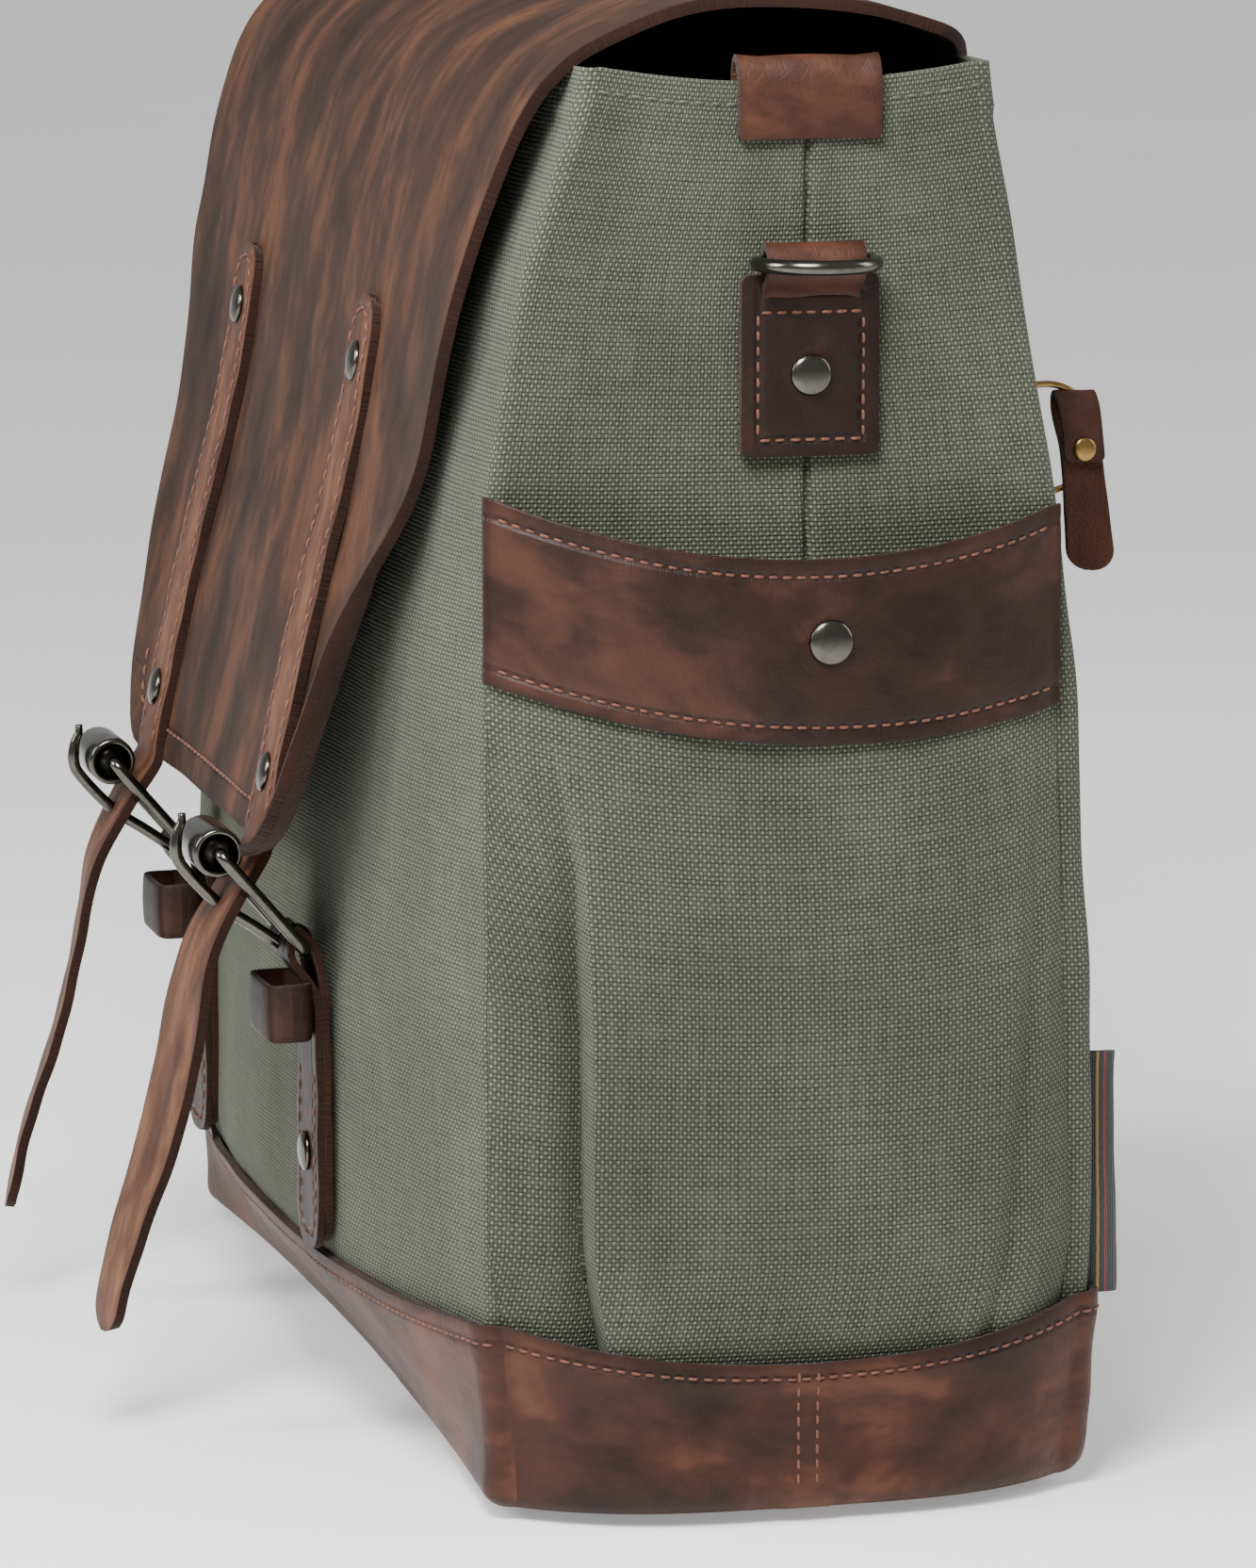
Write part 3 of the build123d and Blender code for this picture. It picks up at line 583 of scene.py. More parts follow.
def cap(name, spot, axis, node, body="bag", radius=5.0, height=2.2):
    """A rivet's gunmetal cap, standing for a CAD node."""
    place(dome(name, spot, axis, radius, height, GUNMETAL), body, "gunmetal", node)


FINE = (3.5, 2.6, 0.38)     # stitches of the boot and the bands

# ---- body: canvas shell, lining, leather boot
HALF = box("right_gusset")[1][0]
FLOOR, TOP = box("right_gusset")[0][2], box("right_gusset")[1][2]
CORNER = 4.0
TAB_Y = middle("right_top_patch")[1]
# height, front half-depth, back half-depth, front bulge, back bulge
LEVELS = np.array([(-12, 71, 70, -14, 1), (10, 72, 72, -4, 2), (44, 75.5, 77, 21, 4),
                   (120, 75.5, 76.5, 21, 4), (200, 75.5, 72.5, 16, 3), (250, 74, 65.5, 7, 0.5),
                   (300, 66, 56, 4, 0.5), (350, 49, 47, 1, 0.5)])
ACROSS = np.unique(np.concatenate([np.linspace(-1, 1, 53), np.linspace(0.08, 0.175, 24)]))
ALONG = np.linspace(-1, 1, 91)
TURN = np.linspace(0, pi / 2, 8)[1:-1]
N_SIDE, N_LONG, N_TURN = len(ACROSS), len(ALONG), len(TURN)
RIGHT = slice(0, N_SIDE)
LEFT = slice(N_SIDE + N_LONG + 2 * N_TURN, 2 * N_SIDE + N_LONG + 2 * N_TURN)
FRONT = slice(2 * N_SIDE + N_LONG + 3 * N_TURN, 2 * N_SIDE + 2 * N_LONG + 3 * N_TURN)


def profile(z):
    """Half-depths and bulges of the body at a height, softened between levels."""
    steps = z + np.linspace(-10, 10, 9)
    return [np.interp(steps, LEVELS[:, 0], LEVELS[:, k]).mean() for k in range(1, 5)]


def outline(z, grow=0.0, bow=0.0):
    """Plan of the body, counter-clockwise from the right gusset's front corner."""
    front, back, front_bow, back_bow = profile(z)
    front, back, a = front + grow + 1.5, back + grow, HALF + grow
    r = max(CORNER + grow, 2.0)
    side_y = (ACROSS + 1) / 2 * (front + back - 2 * r) - front + r
    side_x = a + bow * (1 - np.abs(ACROSS) ** 3.4)
    swell = 1 - ALONG**2
    right = np.column_stack([side_x, side_y])
    back_right = np.column_stack([a - r + r * np.cos(TURN), back - r + r * np.sin(TURN)])
    rear = np.column_stack([-ALONG * (a - r), back + back_bow * swell])
    front_right = np.column_stack([a - r + r * np.sin(TURN), r - front - r * np.cos(TURN)])
    face = np.column_stack([ALONG * (a - r), -front - front_bow * swell])
    flip = np.array([-1, 1])
    return np.vstack([right, back_right, rear, back_right[::-1] * flip, right[::-1] * flip,
                      front_right[::-1] * flip, face, front_right])


ROUND = outline(120)        # every sheet round the body measures its columns along this plan
GIRTH = np.concatenate([[0], np.cumsum(np.linalg.norm(np.diff(ROUND, axis=0), axis=1))])


def around(levels, relief, rim=None):
    """A sheet round the body. levels are (height, growth, bow, share of the plan kept), relief
    the outward relief, and rim the rise of the top edge, faded in over the upper half."""
    grid = []
    for z, grow, bow, share in levels:
        ring = outline(z, grow, bow) * share
        ahead = np.roll(ring, -1, 0) - np.roll(ring, 1, 0)
        out = unit(np.column_stack([ahead[:, 1], -ahead[:, 0]]))
        ring = ring + out * (relief(ring[:, 0], ring[:, 1], z) * (share > 0.9))[:, None]
        grid.append(np.column_stack([ring, np.full(len(ring), z)]))
    grid = np.array(grid)
    if rim is not None:
        low, high = levels[0][0], levels[-1][0]
        grid[..., 2] += rim * fade(grid[..., 2], (low + high) / 2, high)
    heights = np.array([lv[0] for lv in levels]) + np.linspace(-0.01, 0, len(levels))
    return Sheet(heights, GIRTH, grid, closed=True)


def on_side(x):
    """True on the gussets."""
    return np.abs(x) > HALF - 2


def canvas_relief(x, y, z):
    """Drape, the top hem, the gussets' centre seam and the drag above the pocket."""
    soft = 1.0 * ripple(x + 1.3 * y, z * np.ones_like(x), 130, 3)
    soft = soft + 0.4 * ripple(x - 1.1 * y, z * np.ones_like(x), 46, 5)
    calm = 1 - (y > 50) * ridge(z, 250, 30)
    hem = 0.7 * fade(z, TOP - 13, TOP - 11)
    seam = -1.9 * ridge(y, TAB_Y, 0.75) + 0.5 * ridge(np.abs(y - TAB_Y), 3.2, 2.2)
    drag = -2.2 * ridge(y, TAB_Y - 22, 26) * ridge(z, 272, 30)
    return soft * calm + hem + on_side(x) * (seam * fade(z, 120, 160) + drag)


RIM = np.zeros(len(ROUND))
RIM[RIGHT] = RIM[LEFT] = -4.0 * (1 - ACROSS**2)
shell = around([(z, 0, 0, 1) for z in np.linspace(FLOOR, TOP, 130)], canvas_relief, RIM)
body = shell.build("canvas_body", 2.0, [CANVAS, INSIDE, CANVAS], bevel=0.5)
place(body, "bag", "canvas", "front_panel", "back_panel", "right_gusset", "left_gusset")


def lap(part, rows):
    """Rows and columns for sewing along a stretch of the body's outline."""
    return np.broadcast_to(rows, GIRTH[part].shape), GIRTH[part]


sew("hem_stitches", [(shell, *lap(part, TOP - 5.5)) for part in (RIGHT, LEFT, FRONT)],
    (3.9, 3.0, 0.4), thread=CANVAS_THREAD, slot="canvas")

lining_low, lining_high = box("lining")
floor_rows = [(lining_low[2] + 0.01 * i, -2.9, 0, share) for i, share in
              enumerate((0.03, 0.3, 0.6, 0.85, 0.96))]
wall_rows = [(z, -2.6, 0, 1) for z in np.linspace(lining_low[2] + 3, lining_high[2] - 2, 70)]
lining = around(floor_rows + wall_rows,
                lambda x, y, z: canvas_relief(x, y, z) - 0.5 + 0.4 * ripple(x + y, z + 0 * x, 35, 8),
                RIM)
place(lining.build("lining_bag", 0.8, [LINING]), "bag", "lining_cloth", "lining")


def floor_plate(name, node, material, slot):
    """A flat layer in the bottom of the bag, following its plan."""
    low, high = box(node)
    rings = [(low[2] + 0.1 + 0.002 * i, -3.4, 0, part) for i, part in
             enumerate((0.03, 0.35, 0.7, 0.89, 1.0))]
    flat = around(rings, lambda x, y, z: 0.2 * ripple(x, y, 60, 9))
    place(flat.build(name, high[2] - low[2], [material], bevel=0.4), "bag", slot, node)


floor_plate("bottom_cloth", "base_panel", CANVAS, "canvas")
floor_plate("stiffener", "base_board", BOARD, "board")

boot_low, boot_high = box("base_boot")
BOOT_BOW, ROLL = boot_high[0] - HALF - 2.3, 5.5


def boot_relief(x, y, z):
    """Soft waves, and the step where the leather laps over itself on each gusset."""
    soft = 0.9 * ripple(x + 1.2 * y, z + 0 * x, 90, 11) + 0.35 * ripple(x - y, z * 1.4 + 0 * x, 27, 12)
    lapped = on_side(x) * (0.7 * fade(y, -7.2, -6.2) * (1 - fade(y, 3.6, 6)))
    return soft * fade(z, 4, 14) + lapped


under = [(boot_low[2] + 0.02 * i, 2.3, BOOT_BOW, share) for i, share in
         enumerate((0.03, 0.25, 0.5, 0.75, 0.9))]
rolled = [(boot_low[2] + 0.1 + ROLL * (1 - np.cos(a)), 3.3 - ROLL * (1 - np.sin(a)), BOOT_BOW, 1)
          for a in np.linspace(0.15, pi / 2, 7)]
upright = [(z, 2.3 + ridge(z, 8, 12) + 0.5 * ridge(z, 40, 5), BOOT_BOW, 1)
           for z in np.linspace(boot_low[2] + ROLL + 2, boot_high[2], 22)]
BOOT_RIM = np.full(len(ROUND), 4.5)
BOOT_RIM[RIGHT] = BOOT_RIM[LEFT] = -5.0 + 9.5 * ACROSS**2
BOOT_RIM[FRONT] = 4.5 * ALONG**4
boot = around(under + rolled + upright, boot_relief, BOOT_RIM)
drop = (boot_high[2] - boot.rows)[:, None]
boot_body = boot.build("leather_boot", 2.0, [BOOT, FLESH, CUT], seam=drop, edge=drop, bevel=0.7)
place(boot_body, "bag", "leather", "base_boot")
seam_rows = np.linspace(boot_low[2] + 7, boot_high[2] - 1.5, 40)
double = []
for part, flip in ((RIGHT, 1), (LEFT, -1)):
    for y in (-3.6, 1.2):
        spots = np.interp(y, outline(30)[RIGHT][:, 1], ACROSS)
        column = np.interp(flip * spots, ACROSS, GIRTH[part])
        double.append((boot, seam_rows, np.full(40, column)))
sew("boot_stitches", [(boot, np.full(len(GIRTH), boot_high[2] - BOOT_SEAM), GIRTH)] + double, FINE)

# ---- side pockets and their bands
pocket_low, pocket_high = box("right_side_pocket")
SWELL = pocket_high[0] - HALF - 0.2
POCKET_FRONT, POCKET_REAR = -75.5, 73.0
MOUTH = np.polyfit((-75, 5, 75), (249, 234, 247), 2)
HEM = np.polyfit((-75, 5, 75), (204, 189, 197), 2)


def pocket_x(y, z):
    """How far out the right pocket stands: full in the middle, pleated at the front corner."""
    low, high = POCKET_FRONT, POCKET_REAR - 9.5 * z / 247
    v = (2 * y - low - high) / (high - low)
    low_down = 1 - fade(z, 120, 200)
    full = SWELL * (1 - np.abs(v) ** (2.6 + 3.4 * low_down))
    fold = fold_y(z)
    step = fade(y, fold - 1.2, fold + 0.8)
    tucked = 0.8 + 3.2 * fade(y, low, fold - 6) - 2.6 * ridge(y, fold - 1.5, 6)
    lip = 1.8 * ridge(y, fold + 4.0, 6.0)
    pleat = (full + lip) * step + tucked * (1 - step)
    x = full * (1 - low_down) + pleat * low_down
    rear = np.interp(z, (45, 120, 196), (47, 55, 60))
    x = x - 2.0 * ridge(y, rear + 2.4, 2.4) * low_down + 0.8 * ridge(y, rear - 3, 4) * low_down
    x = x + 0.8 * ripple(y, z, 75, 21) * (1 - np.abs(v) ** 4)
    u = (2 * y + 75.5 - 77) / (75.5 + 77)
    inside = 0.1 + BOOT_BOW * (1 - np.minimum(np.abs(u), 1) ** 3.4)
    x = x - np.maximum(x - inside, 0) * (1 - fade(z, 52, 105))
    return HALF + 0.25 + x * fade(v, -1.001, -0.97) * fade(-v, -1.001, -0.97)


def fold_y(z):
    """Where the front pleat's fold runs."""
    return np.interp(z, (0, 45, 120, 160, 196), (-49, -49.5, -50.5, -54, -62))


def on_its_side(sheet, sign):
    """The sheet itself for the right side, its mirror image for the left."""
    if sign > 0:
        return sheet
    points = sheet.points[:, ::-1] * np.array([-1, 1, 1])
    return Sheet(sheet.rows, -sheet.columns[:, ::-1], points)


BAND_FRONT, BAND_REAR, BAND_TALL = -77.0, 66.0, 45.0
share = np.linspace(0, 1, 90)[:, None]
flat = np.unique(np.concatenate([np.linspace(0, 1, 70), np.linspace(0.07, 0.23, 60)]))
ribbed = np.linspace(0, 1, 90)
for side, sign in SIDES:
    y = POCKET_FRONT + flat * (POCKET_REAR - POCKET_FRONT - 9.5 * share)
    z = pocket_low[2] + share * (np.polyval(MOUTH, y) - 1.5 - pocket_low[2])
    x = pocket_x(y, z)
    lapped = y - 3.4 * ridge(y, fold_y(z) + 1.0, 2.6) * (1 - fade(z, 110, 190))
    lapped = lapped * (1 - 0.09 * (1 - fade(z, 26, 70)))
    x = x - 2.2 * (1 - fade(z, 28, 46))
    points = np.stack([x, lapped, z], -1)
    steps = np.linalg.norm(np.diff(points[:, ::-1], axis=1), axis=-1)
    cloth = y[:, -1:] - np.pad(np.cumsum(steps, axis=1), ((0, 0), (1, 0)))[:, ::-1]
    sheet = on_its_side(Sheet(share[:, 0] * 235, cloth, points), sign)
    place(sheet.build(f"{side}_pocket", 2.0, [CANVAS, INSIDE, CANVAS], bevel=0.5), "bag",
          "canvas", f"{side}_side_pocket")

    rise = np.unique(np.concatenate([np.linspace(0, 1, 22), (0.015, 0.04, 0.96, 0.985)]))[:, None]
    y = BAND_FRONT + ribbed * (BAND_REAR - BAND_FRONT) + 0 * rise
    z = np.polyval(HEM, y) + rise * (np.polyval(MOUTH, y) - np.polyval(HEM, y))
    along_rise = rise * BAND_TALL
    dents = ridge(along_rise, BAND_SEAM, 1.4) + ridge(along_rise, BAND_TALL - BAND_SEAM, 1.4)
    puff = 0.5 * np.sin(pi * rise) ** 0.5 - 0.35 * dents
    x = np.maximum(pocket_x(y, np.maximum(z, 200)), HALF + 0.4) + 1.9 + puff
    x = x + 0.35 * ripple(y, z, 24, 31)
    sheet = on_its_side(Sheet(rise[:, 0] * BAND_TALL, y, np.stack([x, y, z], -1)), sign)
    ends = np.minimum(along_rise, (1 - rise) * BAND_TALL)
    cut = np.minimum(ends, np.minimum(y - BAND_FRONT, BAND_REAR - y))
    place(sheet.build(f"{side}_band", 1.8, [BAND, FLESH, CUT], seam=ends + 0 * y,
                      edge=cut if sign > 0 else cut[:, ::-1], bevel=0.6),
          "bag", "leather", f"{side}_pocket_band")
    run = np.linspace(BAND_FRONT + 3, BAND_REAR - 3, 60)
    rows_of_thread = [(sheet, np.full(60, row), sign * run if sign > 0 else (-run)[::-1])
                      for row in (BAND_SEAM, BAND_TALL - BAND_SEAM)]
    sew(f"{side}_band_stitches", rows_of_thread, FINE)

    low, high = box(f"{side}_snap_cap")
    spot = middle(f"{side}_snap_cap")
    spot[0] = sign * (min(abs(low[0]), abs(high[0])) - 0.1)
    cap(f"{side}_snap", spot, (sign, 0, 0), f"{side}_snap_cap", radius=5.4, height=2.5)

# ---- gusset fittings
patch_low, patch_high = box("right_top_patch")
tab_low = box("right_dring_tab")[0]
bar_x, bar_z = HALF + 5.4, middle("right_dring")[2]
for side, sign in SIDES:
    def strip(name, points, half, thick, material, ends=(0, 0), relief=None, seam=None,
              columns=12):
        """A leather strip on a gusset, through points in the plane of the fittings."""
        path = Run([(x, TAB_Y, z) for x, z in points])
        made = on_its_side(belt(path, 1.2, (0, 1, 0), half, thick, relief, columns, ends), sign)
        far = strip_edges(made)
        built = made.build(name, thick, [material, FLESH, CUT], far if seam else None, far)
        return made, built

    out, back_x, top = patch_high[0] - 0.9, patch_low[0] + 0.9, patch_high[2]
    _, folded = strip(f"{side}_patch", [
        (out, patch_low[2]), (out + 0.2, patch_low[2] + 9), (out, top - 5), (out - 1.6, top - 1.4),
        (out - 3.4, top - 0.7), (back_x + 0.5, top - 2.4), (back_x, top - 6),
        (back_x, patch_low[2])], 17.5, 1.8, SMOOTH, (1.5, 1.5),
        lambda s, w, h: 0.35 * ripple(s, w, 26, 41) + 0.6 * fade(np.abs(w), 12, 17.5))
    place(folded, "bag", "leather", f"{side}_top_patch")

    x = tab_low[0] + 1.4
    tall = 300.5 - tab_low[2]
    plate, tab = strip(f"{side}_tab", [(x, tab_low[2]), (x, tab_low[2] + tall / 2),
                                       (x, tab_low[2] + tall)], 17.0, 2.8, TAB, (2.2, 2.2),
                       lambda s, w, h: 0.5 * fade(np.minimum(17 - np.abs(w), s), 0, 9)
                       - 0.5 * ridge(np.hypot(w, s - 20), 6.5, 3)
                       + 0.25 * ripple(s, w, 18, 43), seam=True, columns=26)
    place(tab, "bag", "leather", f"{side}_dring_tab")
    _, loop = strip(f"{side}_loop", [
        (x + 0.2, 290), (x + 0.9, 296), (bar_x + 1.9, bar_z - 3.5), (bar_x + 3.5, bar_z + 0.4),
        (bar_x + 0.9, bar_z + 3.6), (bar_x - 2.6, bar_z + 2.6), (x + 0.1, bar_z - 3), (x, 292)],
        12.0, 2.1, SMOOTH, (1.5, 1.5))
    place(loop, "bag", "leather")
    square = [(4.0, -13), (4.0, 13), (34.5, 13), (34.5, -13), (4.0, -13)]
    lines = [(plate, np.linspace(a[0], b[0], 24), np.linspace(a[1], b[1], 24) * sign)
             for a, b in zip(square, square[1:])]
    sew(f"{side}_tab_stitches", lines, (3.7, 2.8, 0.4))
    spot = middle(f"{side}_tab_rivet")
    spot[0] = sign * (HALF + 2.9)
    cap(f"{side}_tab_cap", spot, (sign, 0, 0), f"{side}_tab_rivet", height=2.3)

# ---- flap
flap = Run([(0, y, z) for y, z in (
    (54.9, 320), (52.4, 336), (49.9, 348), (44.5, 354.4), (31, 359.9), (18, 363), (-1, 364.6),
    (-19, 363.2), (-37, 358.8), (-54.4, 350.2), (-65.2, 336.5), (-72.2, 315), (-77.5, 290),
    (-84.5, 250), (-97, 200), (-108, 150))])
FILLET, FLAP_THICK = 24.0, 3.0
# half-widths at the hem, over the body and where the flap is sewn on
HEM_HALF, FULL_HALF, SEWN_HALF = 113.0, 172.0, 146.0
s = spaced(flap.length, 2.7, 1, FILLET)
heights = flap.at(s)[:, 2]
in_front = flap.at(s)[:, 1] < -58
taper = np.interp(heights, (150, 175, 212, 285, 340, 352), (HEM_HALF, 119, 132, 161, 170, FULL_HALF))
half = np.where(in_front, taper, FULL_HALF)
half[s < 46] = SEWN_HALF + (FULL_HALF - SEWN_HALF) * fade(s[s < 46], 24, 45)
half = rounded(s, flap.length, half, 1, FILLET)
z_at = dict(zip(s, heights))


def flap_relief(s, w, half):
    """Side edges that curl outwards lower down, and soft waves except under the straps."""
    z = np.array([z_at[v] for v in s[:, 0]])[:, None]
    inset = half - np.abs(w)
    right = w < 0
    curl = (2.0 + 6.5 * right) * (1 - fade(inset, 0, 24)) ** 1.5 * fade(262 - z, 0, 62)
    wave = 0.9 * ripple(s, w, 95, 51) + 0.3 * ripple(s, w, 30, 52)
    loose = (1 - ridge(np.abs(w), 75, 20)) * fade(s, 20, 60)
    lift = 1.6 * ripple(s, w * 0.3, 120, 53) * (1 - fade(inset, 0, 50)) * fade(s, 60, 120)
    return curl + wave * loose + lift * (1 - ridge(np.abs(w), 75, 22))


leather_flap = ribbon(flap, s, (-1, 0, 0), half, FLAP_THICK, flap_relief, columns=130)
to_hem = flap.length - s[:, None] + 0 * leather_flap.columns
STRAIGHT = HEM_HALF - FILLET
past = np.abs(leather_flap.columns) - STRAIGHT
corner = FILLET - np.hypot(np.maximum(FILLET - to_hem, 0), np.maximum(past, 0))
to_seam = np.where((to_hem < FILLET) & (past > 0), corner, to_hem)
whole = leather_flap.build("flap", FLAP_THICK, [FLAP, FLESH, CUT], seam=to_seam,
                           edge=strip_edges(leather_flap), bevel=0.8)
# the two halves meet at the row nearest the flap's crest
crest_y = flap.at(s[np.argmin(np.abs(flap.at(s)[:, 1] + 1))])[1] * MM


def half_of(obj, name, keep):
    """A copy of obj with only the faces whose middle keep() accepts."""
    made = obj.copy()
    made.data = obj.data.copy()
    made.name = name
    bpy.context.scene.collection.objects.link(made)
    mesh = bmesh.new()
    mesh.from_mesh(made.data)
    gone = [f for f in mesh.faces if not keep(f.calc_center_median())]
    bmesh.ops.delete(mesh, geom=gone, context="FACES")
    mesh.to_mesh(made.data)
    mesh.free()
    return made


rear_half = half_of(whole, "flap_roof_leather", lambda c: c.y > crest_y)
front_half = half_of(whole, "flap_front_leather", lambda c: c.y <= crest_y)
bpy.data.objects.remove(whole)
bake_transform(rear_half)
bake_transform(front_half)
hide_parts("flap_anchor", "flap_top")
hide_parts("flap_front")

bend = np.linspace(0, pi / 2, 14)
inner = FILLET - FLAP_SEAM
hem_w = np.concatenate([-(STRAIGHT + inner * np.cos(bend)),
                        np.linspace(-STRAIGHT, STRAIGHT, 80)[1:-1], STRAIGHT + inner * np.sin(bend)])
hem_d = np.concatenate([FILLET - inner * np.sin(bend), np.full(78, FLAP_SEAM),
                        FILLET - inner * np.cos(bend)])
sew("flap_stitches", [(leather_flap, flap.length - hem_d, hem_w)], (4.6, 3.5, 0.45), "flap_face")

# ---- closing straps
SEWN_END = 137.0            # distance down a strap to where its free tail begins
HALF_STRAP = 12.5
REACH = HALF_STRAP - STRAP_SEAM    # stitch line, from the middle of a strap


def round_the_end(start, end, steps, turns):
    """Rows and columns of stitches up one edge of a strap, round its end and down the other."""
    down = np.linspace(start, end, steps)
    arc = np.linspace(-pi / 2, pi / 2, turns)
    return (np.concatenate([down[::-1], start - REACH * np.cos(arc), down]),
            np.concatenate([np.full(steps, -REACH), REACH * np.sin(arc), np.full(steps, REACH)]))


tail = [(-111.0, 149.2), (-118.4, 137.2), (-125.8, 122.2), (-131.2, 101), (-136.8, 78),
        (-144.6, 50), (-149.2, 27)]
sewn_s = np.linspace(flap.length - 140.5, flap.length - 3, 12)
lifted = flap.at(sewn_s) + unit(np.cross((-1, 0, 0), flap.along(sewn_s))) * 2.85
for side, sign in SIDES:
    centre_x = middle(f"{side}_flap_strap")[0]
    path = Run([(centre_x, y, z) for _, y, z in lifted] + [(centre_x, y, z) for y, z in tail])
    s = spaced(path.length, 2.4, 11, 8)
    width = rounded(s, path.length, HALF_STRAP - 4.3 * fade(s, path.length - 62, path.length - 6),
                    11, 7.5)

    def strap_relief(s, w, half):
        free = fade(s, SEWN_END + 8, SEWN_END + 60)
        lean = 0.16 * w * free * sign + 1.1 * free * np.sin(s / 19)
        crown = 0.4 * (1 - (w / np.maximum(half, 1)) ** 2)
        return crown + lean + 0.25 * ripple(s, w, 16, 61 + sign)

    strap = ribbon(path, s, (-1, 0, 0), width, 2.6, strap_relief, columns=14)
    edges = strip_edges(strap)
    seam = np.where(s[:, None] < SEWN_END + 4, edges, 20.0)
    place(strap.build(f"{side}_strap", 2.6, [STRAP, FLESH, CUT], seam=seam, edge=edges,
                      bevel=0.8), "flap_face", "leather", f"{side}_flap_strap",
          f"{side}_strap_tail")
    sew(f"{side}_strap_stitches", [(strap, *round_the_end(HALF_STRAP, SEWN_END, 60, 22))],
        (4.4, 3.4, 0.42), "flap_face")
    rivet_low, rivet_high = box("strap_rivets")
    for height in (rivet_high[2] - 5, rivet_low[2] + 5):
        place_s = np.interp(-height, -path.at(s)[:, 2], s)
        spot, normal = strap.at([place_s], [0.0])
        cap(f"{side}_strap_cap_{int(height)}", spot[0] - normal[0] * 0.3, normal[0],
            "strap_rivets", "flap_face")

# ---- buckles
HEEL_Y, HEEL_Z = -101.4, 125.0    # the frame's bar, inside the chape
for side, sign in SIDES:
    low, high = box(f"{side}_chape")
    x = (low[0] + high[0]) / 2
    heel = np.array([x, HEEL_Y, HEEL_Z])
    roller_mid = middle(f"{side}_buckle_roller")
    front_y, back_y = high[1] - 2.85, high[1] - 0.95
    points = [(front_y, low[2]), (front_y, 80), (front_y - 0.2, 104), (front_y - 1.6, 115),
              (heel[1] - 3.0, heel[2] - 2.2), (heel[1] - 2.5, heel[2] + 1.8),
              (heel[1] + 0.3, heel[2] + 3.0), (heel[1] + 2.8, heel[2] + 0.6),
              (back_y - 1.0, 117), (back_y, 108), (back_y, 80), (back_y, low[2] + 1.5)]
    path = Run([(x, y, z) for y, z in points])
    chape = belt(path, 2.2, (1, 0, 0), HALF_STRAP, 1.85,
                 lambda s, w, h: 0.3 * ripple(s, w, 20, 71) + 0.25 * (1 - (w / 13) ** 2),
                 14, (10, 10))
    edges = strip_edges(chape)
    place(chape.build(f"{side}_chape_leather", 1.85, [BAND, FLESH, CUT], seam=edges, edge=edges,
                      bevel=0.6), "bag", "leather", f"{side}_chape")
    sew(f"{side}_chape_stitches", [(chape, *round_the_end(12, 46, 20, 18))], (4.2, 3.2, 0.4))
    spot = middle(f"{side}_chape_rivet")
    cap(f"{side}_chape_cap", (spot[0], front_y - 1.1, spot[2]), (0, -1, 0), f"{side}_chape_rivet")

    low, high = box(f"{side}_keeper")
    mid, size = (low + high) / 2, (high - low) / 2
    turn = np.linspace(0, 2 * pi, 65)[:-1]
    rise = np.linspace(-1, 1, 9)
    power = 0.42            # below 1, so the loop's plan is nearly square
    ring = np.stack([np.sign(np.cos(turn)) * np.abs(np.cos(turn)) ** power * size[0],
                     np.sign(np.sin(turn)) * np.abs(np.sin(turn)) ** power * size[1]], -1)
    grid = np.array([np.column_stack([mid[0] + ring[:, 0] * (1 - 0.03 * v * v),
                                      mid[1] + ring[:, 1] * (1 - 0.05 * v * v),
                                      np.full(64, mid[2] + v * size[2])
                                      + 0.5 * np.sin(turn + v)]) for v in rise])
    keeper = Sheet(rise * size[2], turn / (2 * pi) * 80, grid, closed=True)
    rim = (size[2] - np.abs(rise * size[2]))[:, None]
    place(keeper.build(f"{side}_keeper_loop", 1.8, [TAB, FLESH, CUT], edge=rim, bevel=0.5),
          "bag", "leather", f"{side}_keeper")

    length = box(f"{side}_buckle_roller")[1][0] - box(f"{side}_buckle_roller")[0][0]
    start = roller_mid - np.array([length / 2, 0, 0])
    shape = [(1.9, 4.0), (4.1, 3.6), (4.6, 0.6), (5.1, 0.0), (5.8, 0.1), (6.2, 0.7), (6.3, 1.6)]
    profile_line = shape + [(6.3, length / 2)] + [(r, length - h) for r, h in shape[::-1]]
    place(lathe(f"{side}_roller_tube", profile_line, start, (1, 0, 0), GUNMETAL),
          f"{side}_roller", "gunmetal", f"{side}_buckle_roller")

    reach = roller_mid - heel
    reach[0] = 0
    span = np.linalg.norm(reach)
    ahead = reach / span
    outward = np.array([0, -ahead[2], ahead[1]])
    outward = outward * (1 if outward[1] < 0 else -1)
    eye = [(3.0 * np.cos(a), 3.0 * np.sin(a)) for a in np.radians(np.arange(-200, 71, 15))[::-1]]
    hook = [(span * 0.3, 5.2), (span * 0.62, 8.0), (span, 8.6), (span + 4.6, 7.4),
            (span + 8.2, 3.8), (span + 9.6, 1.2), (span + 11.2, -0.2)]
    bar = Run([heel + ahead * a + outward * b for a, b in eye[::-1] + hook])
    s = np.linspace(0, bar.length, 90)
    thick = 1.55 - 0.55 * fade(s, bar.length - 9, bar.length)
    place(tube(f"{side}_prong_bar", bar.at(s), thick, GUNMETAL), f"{side}_prong", "gunmetal",
          f"{side}_buckle_prong")

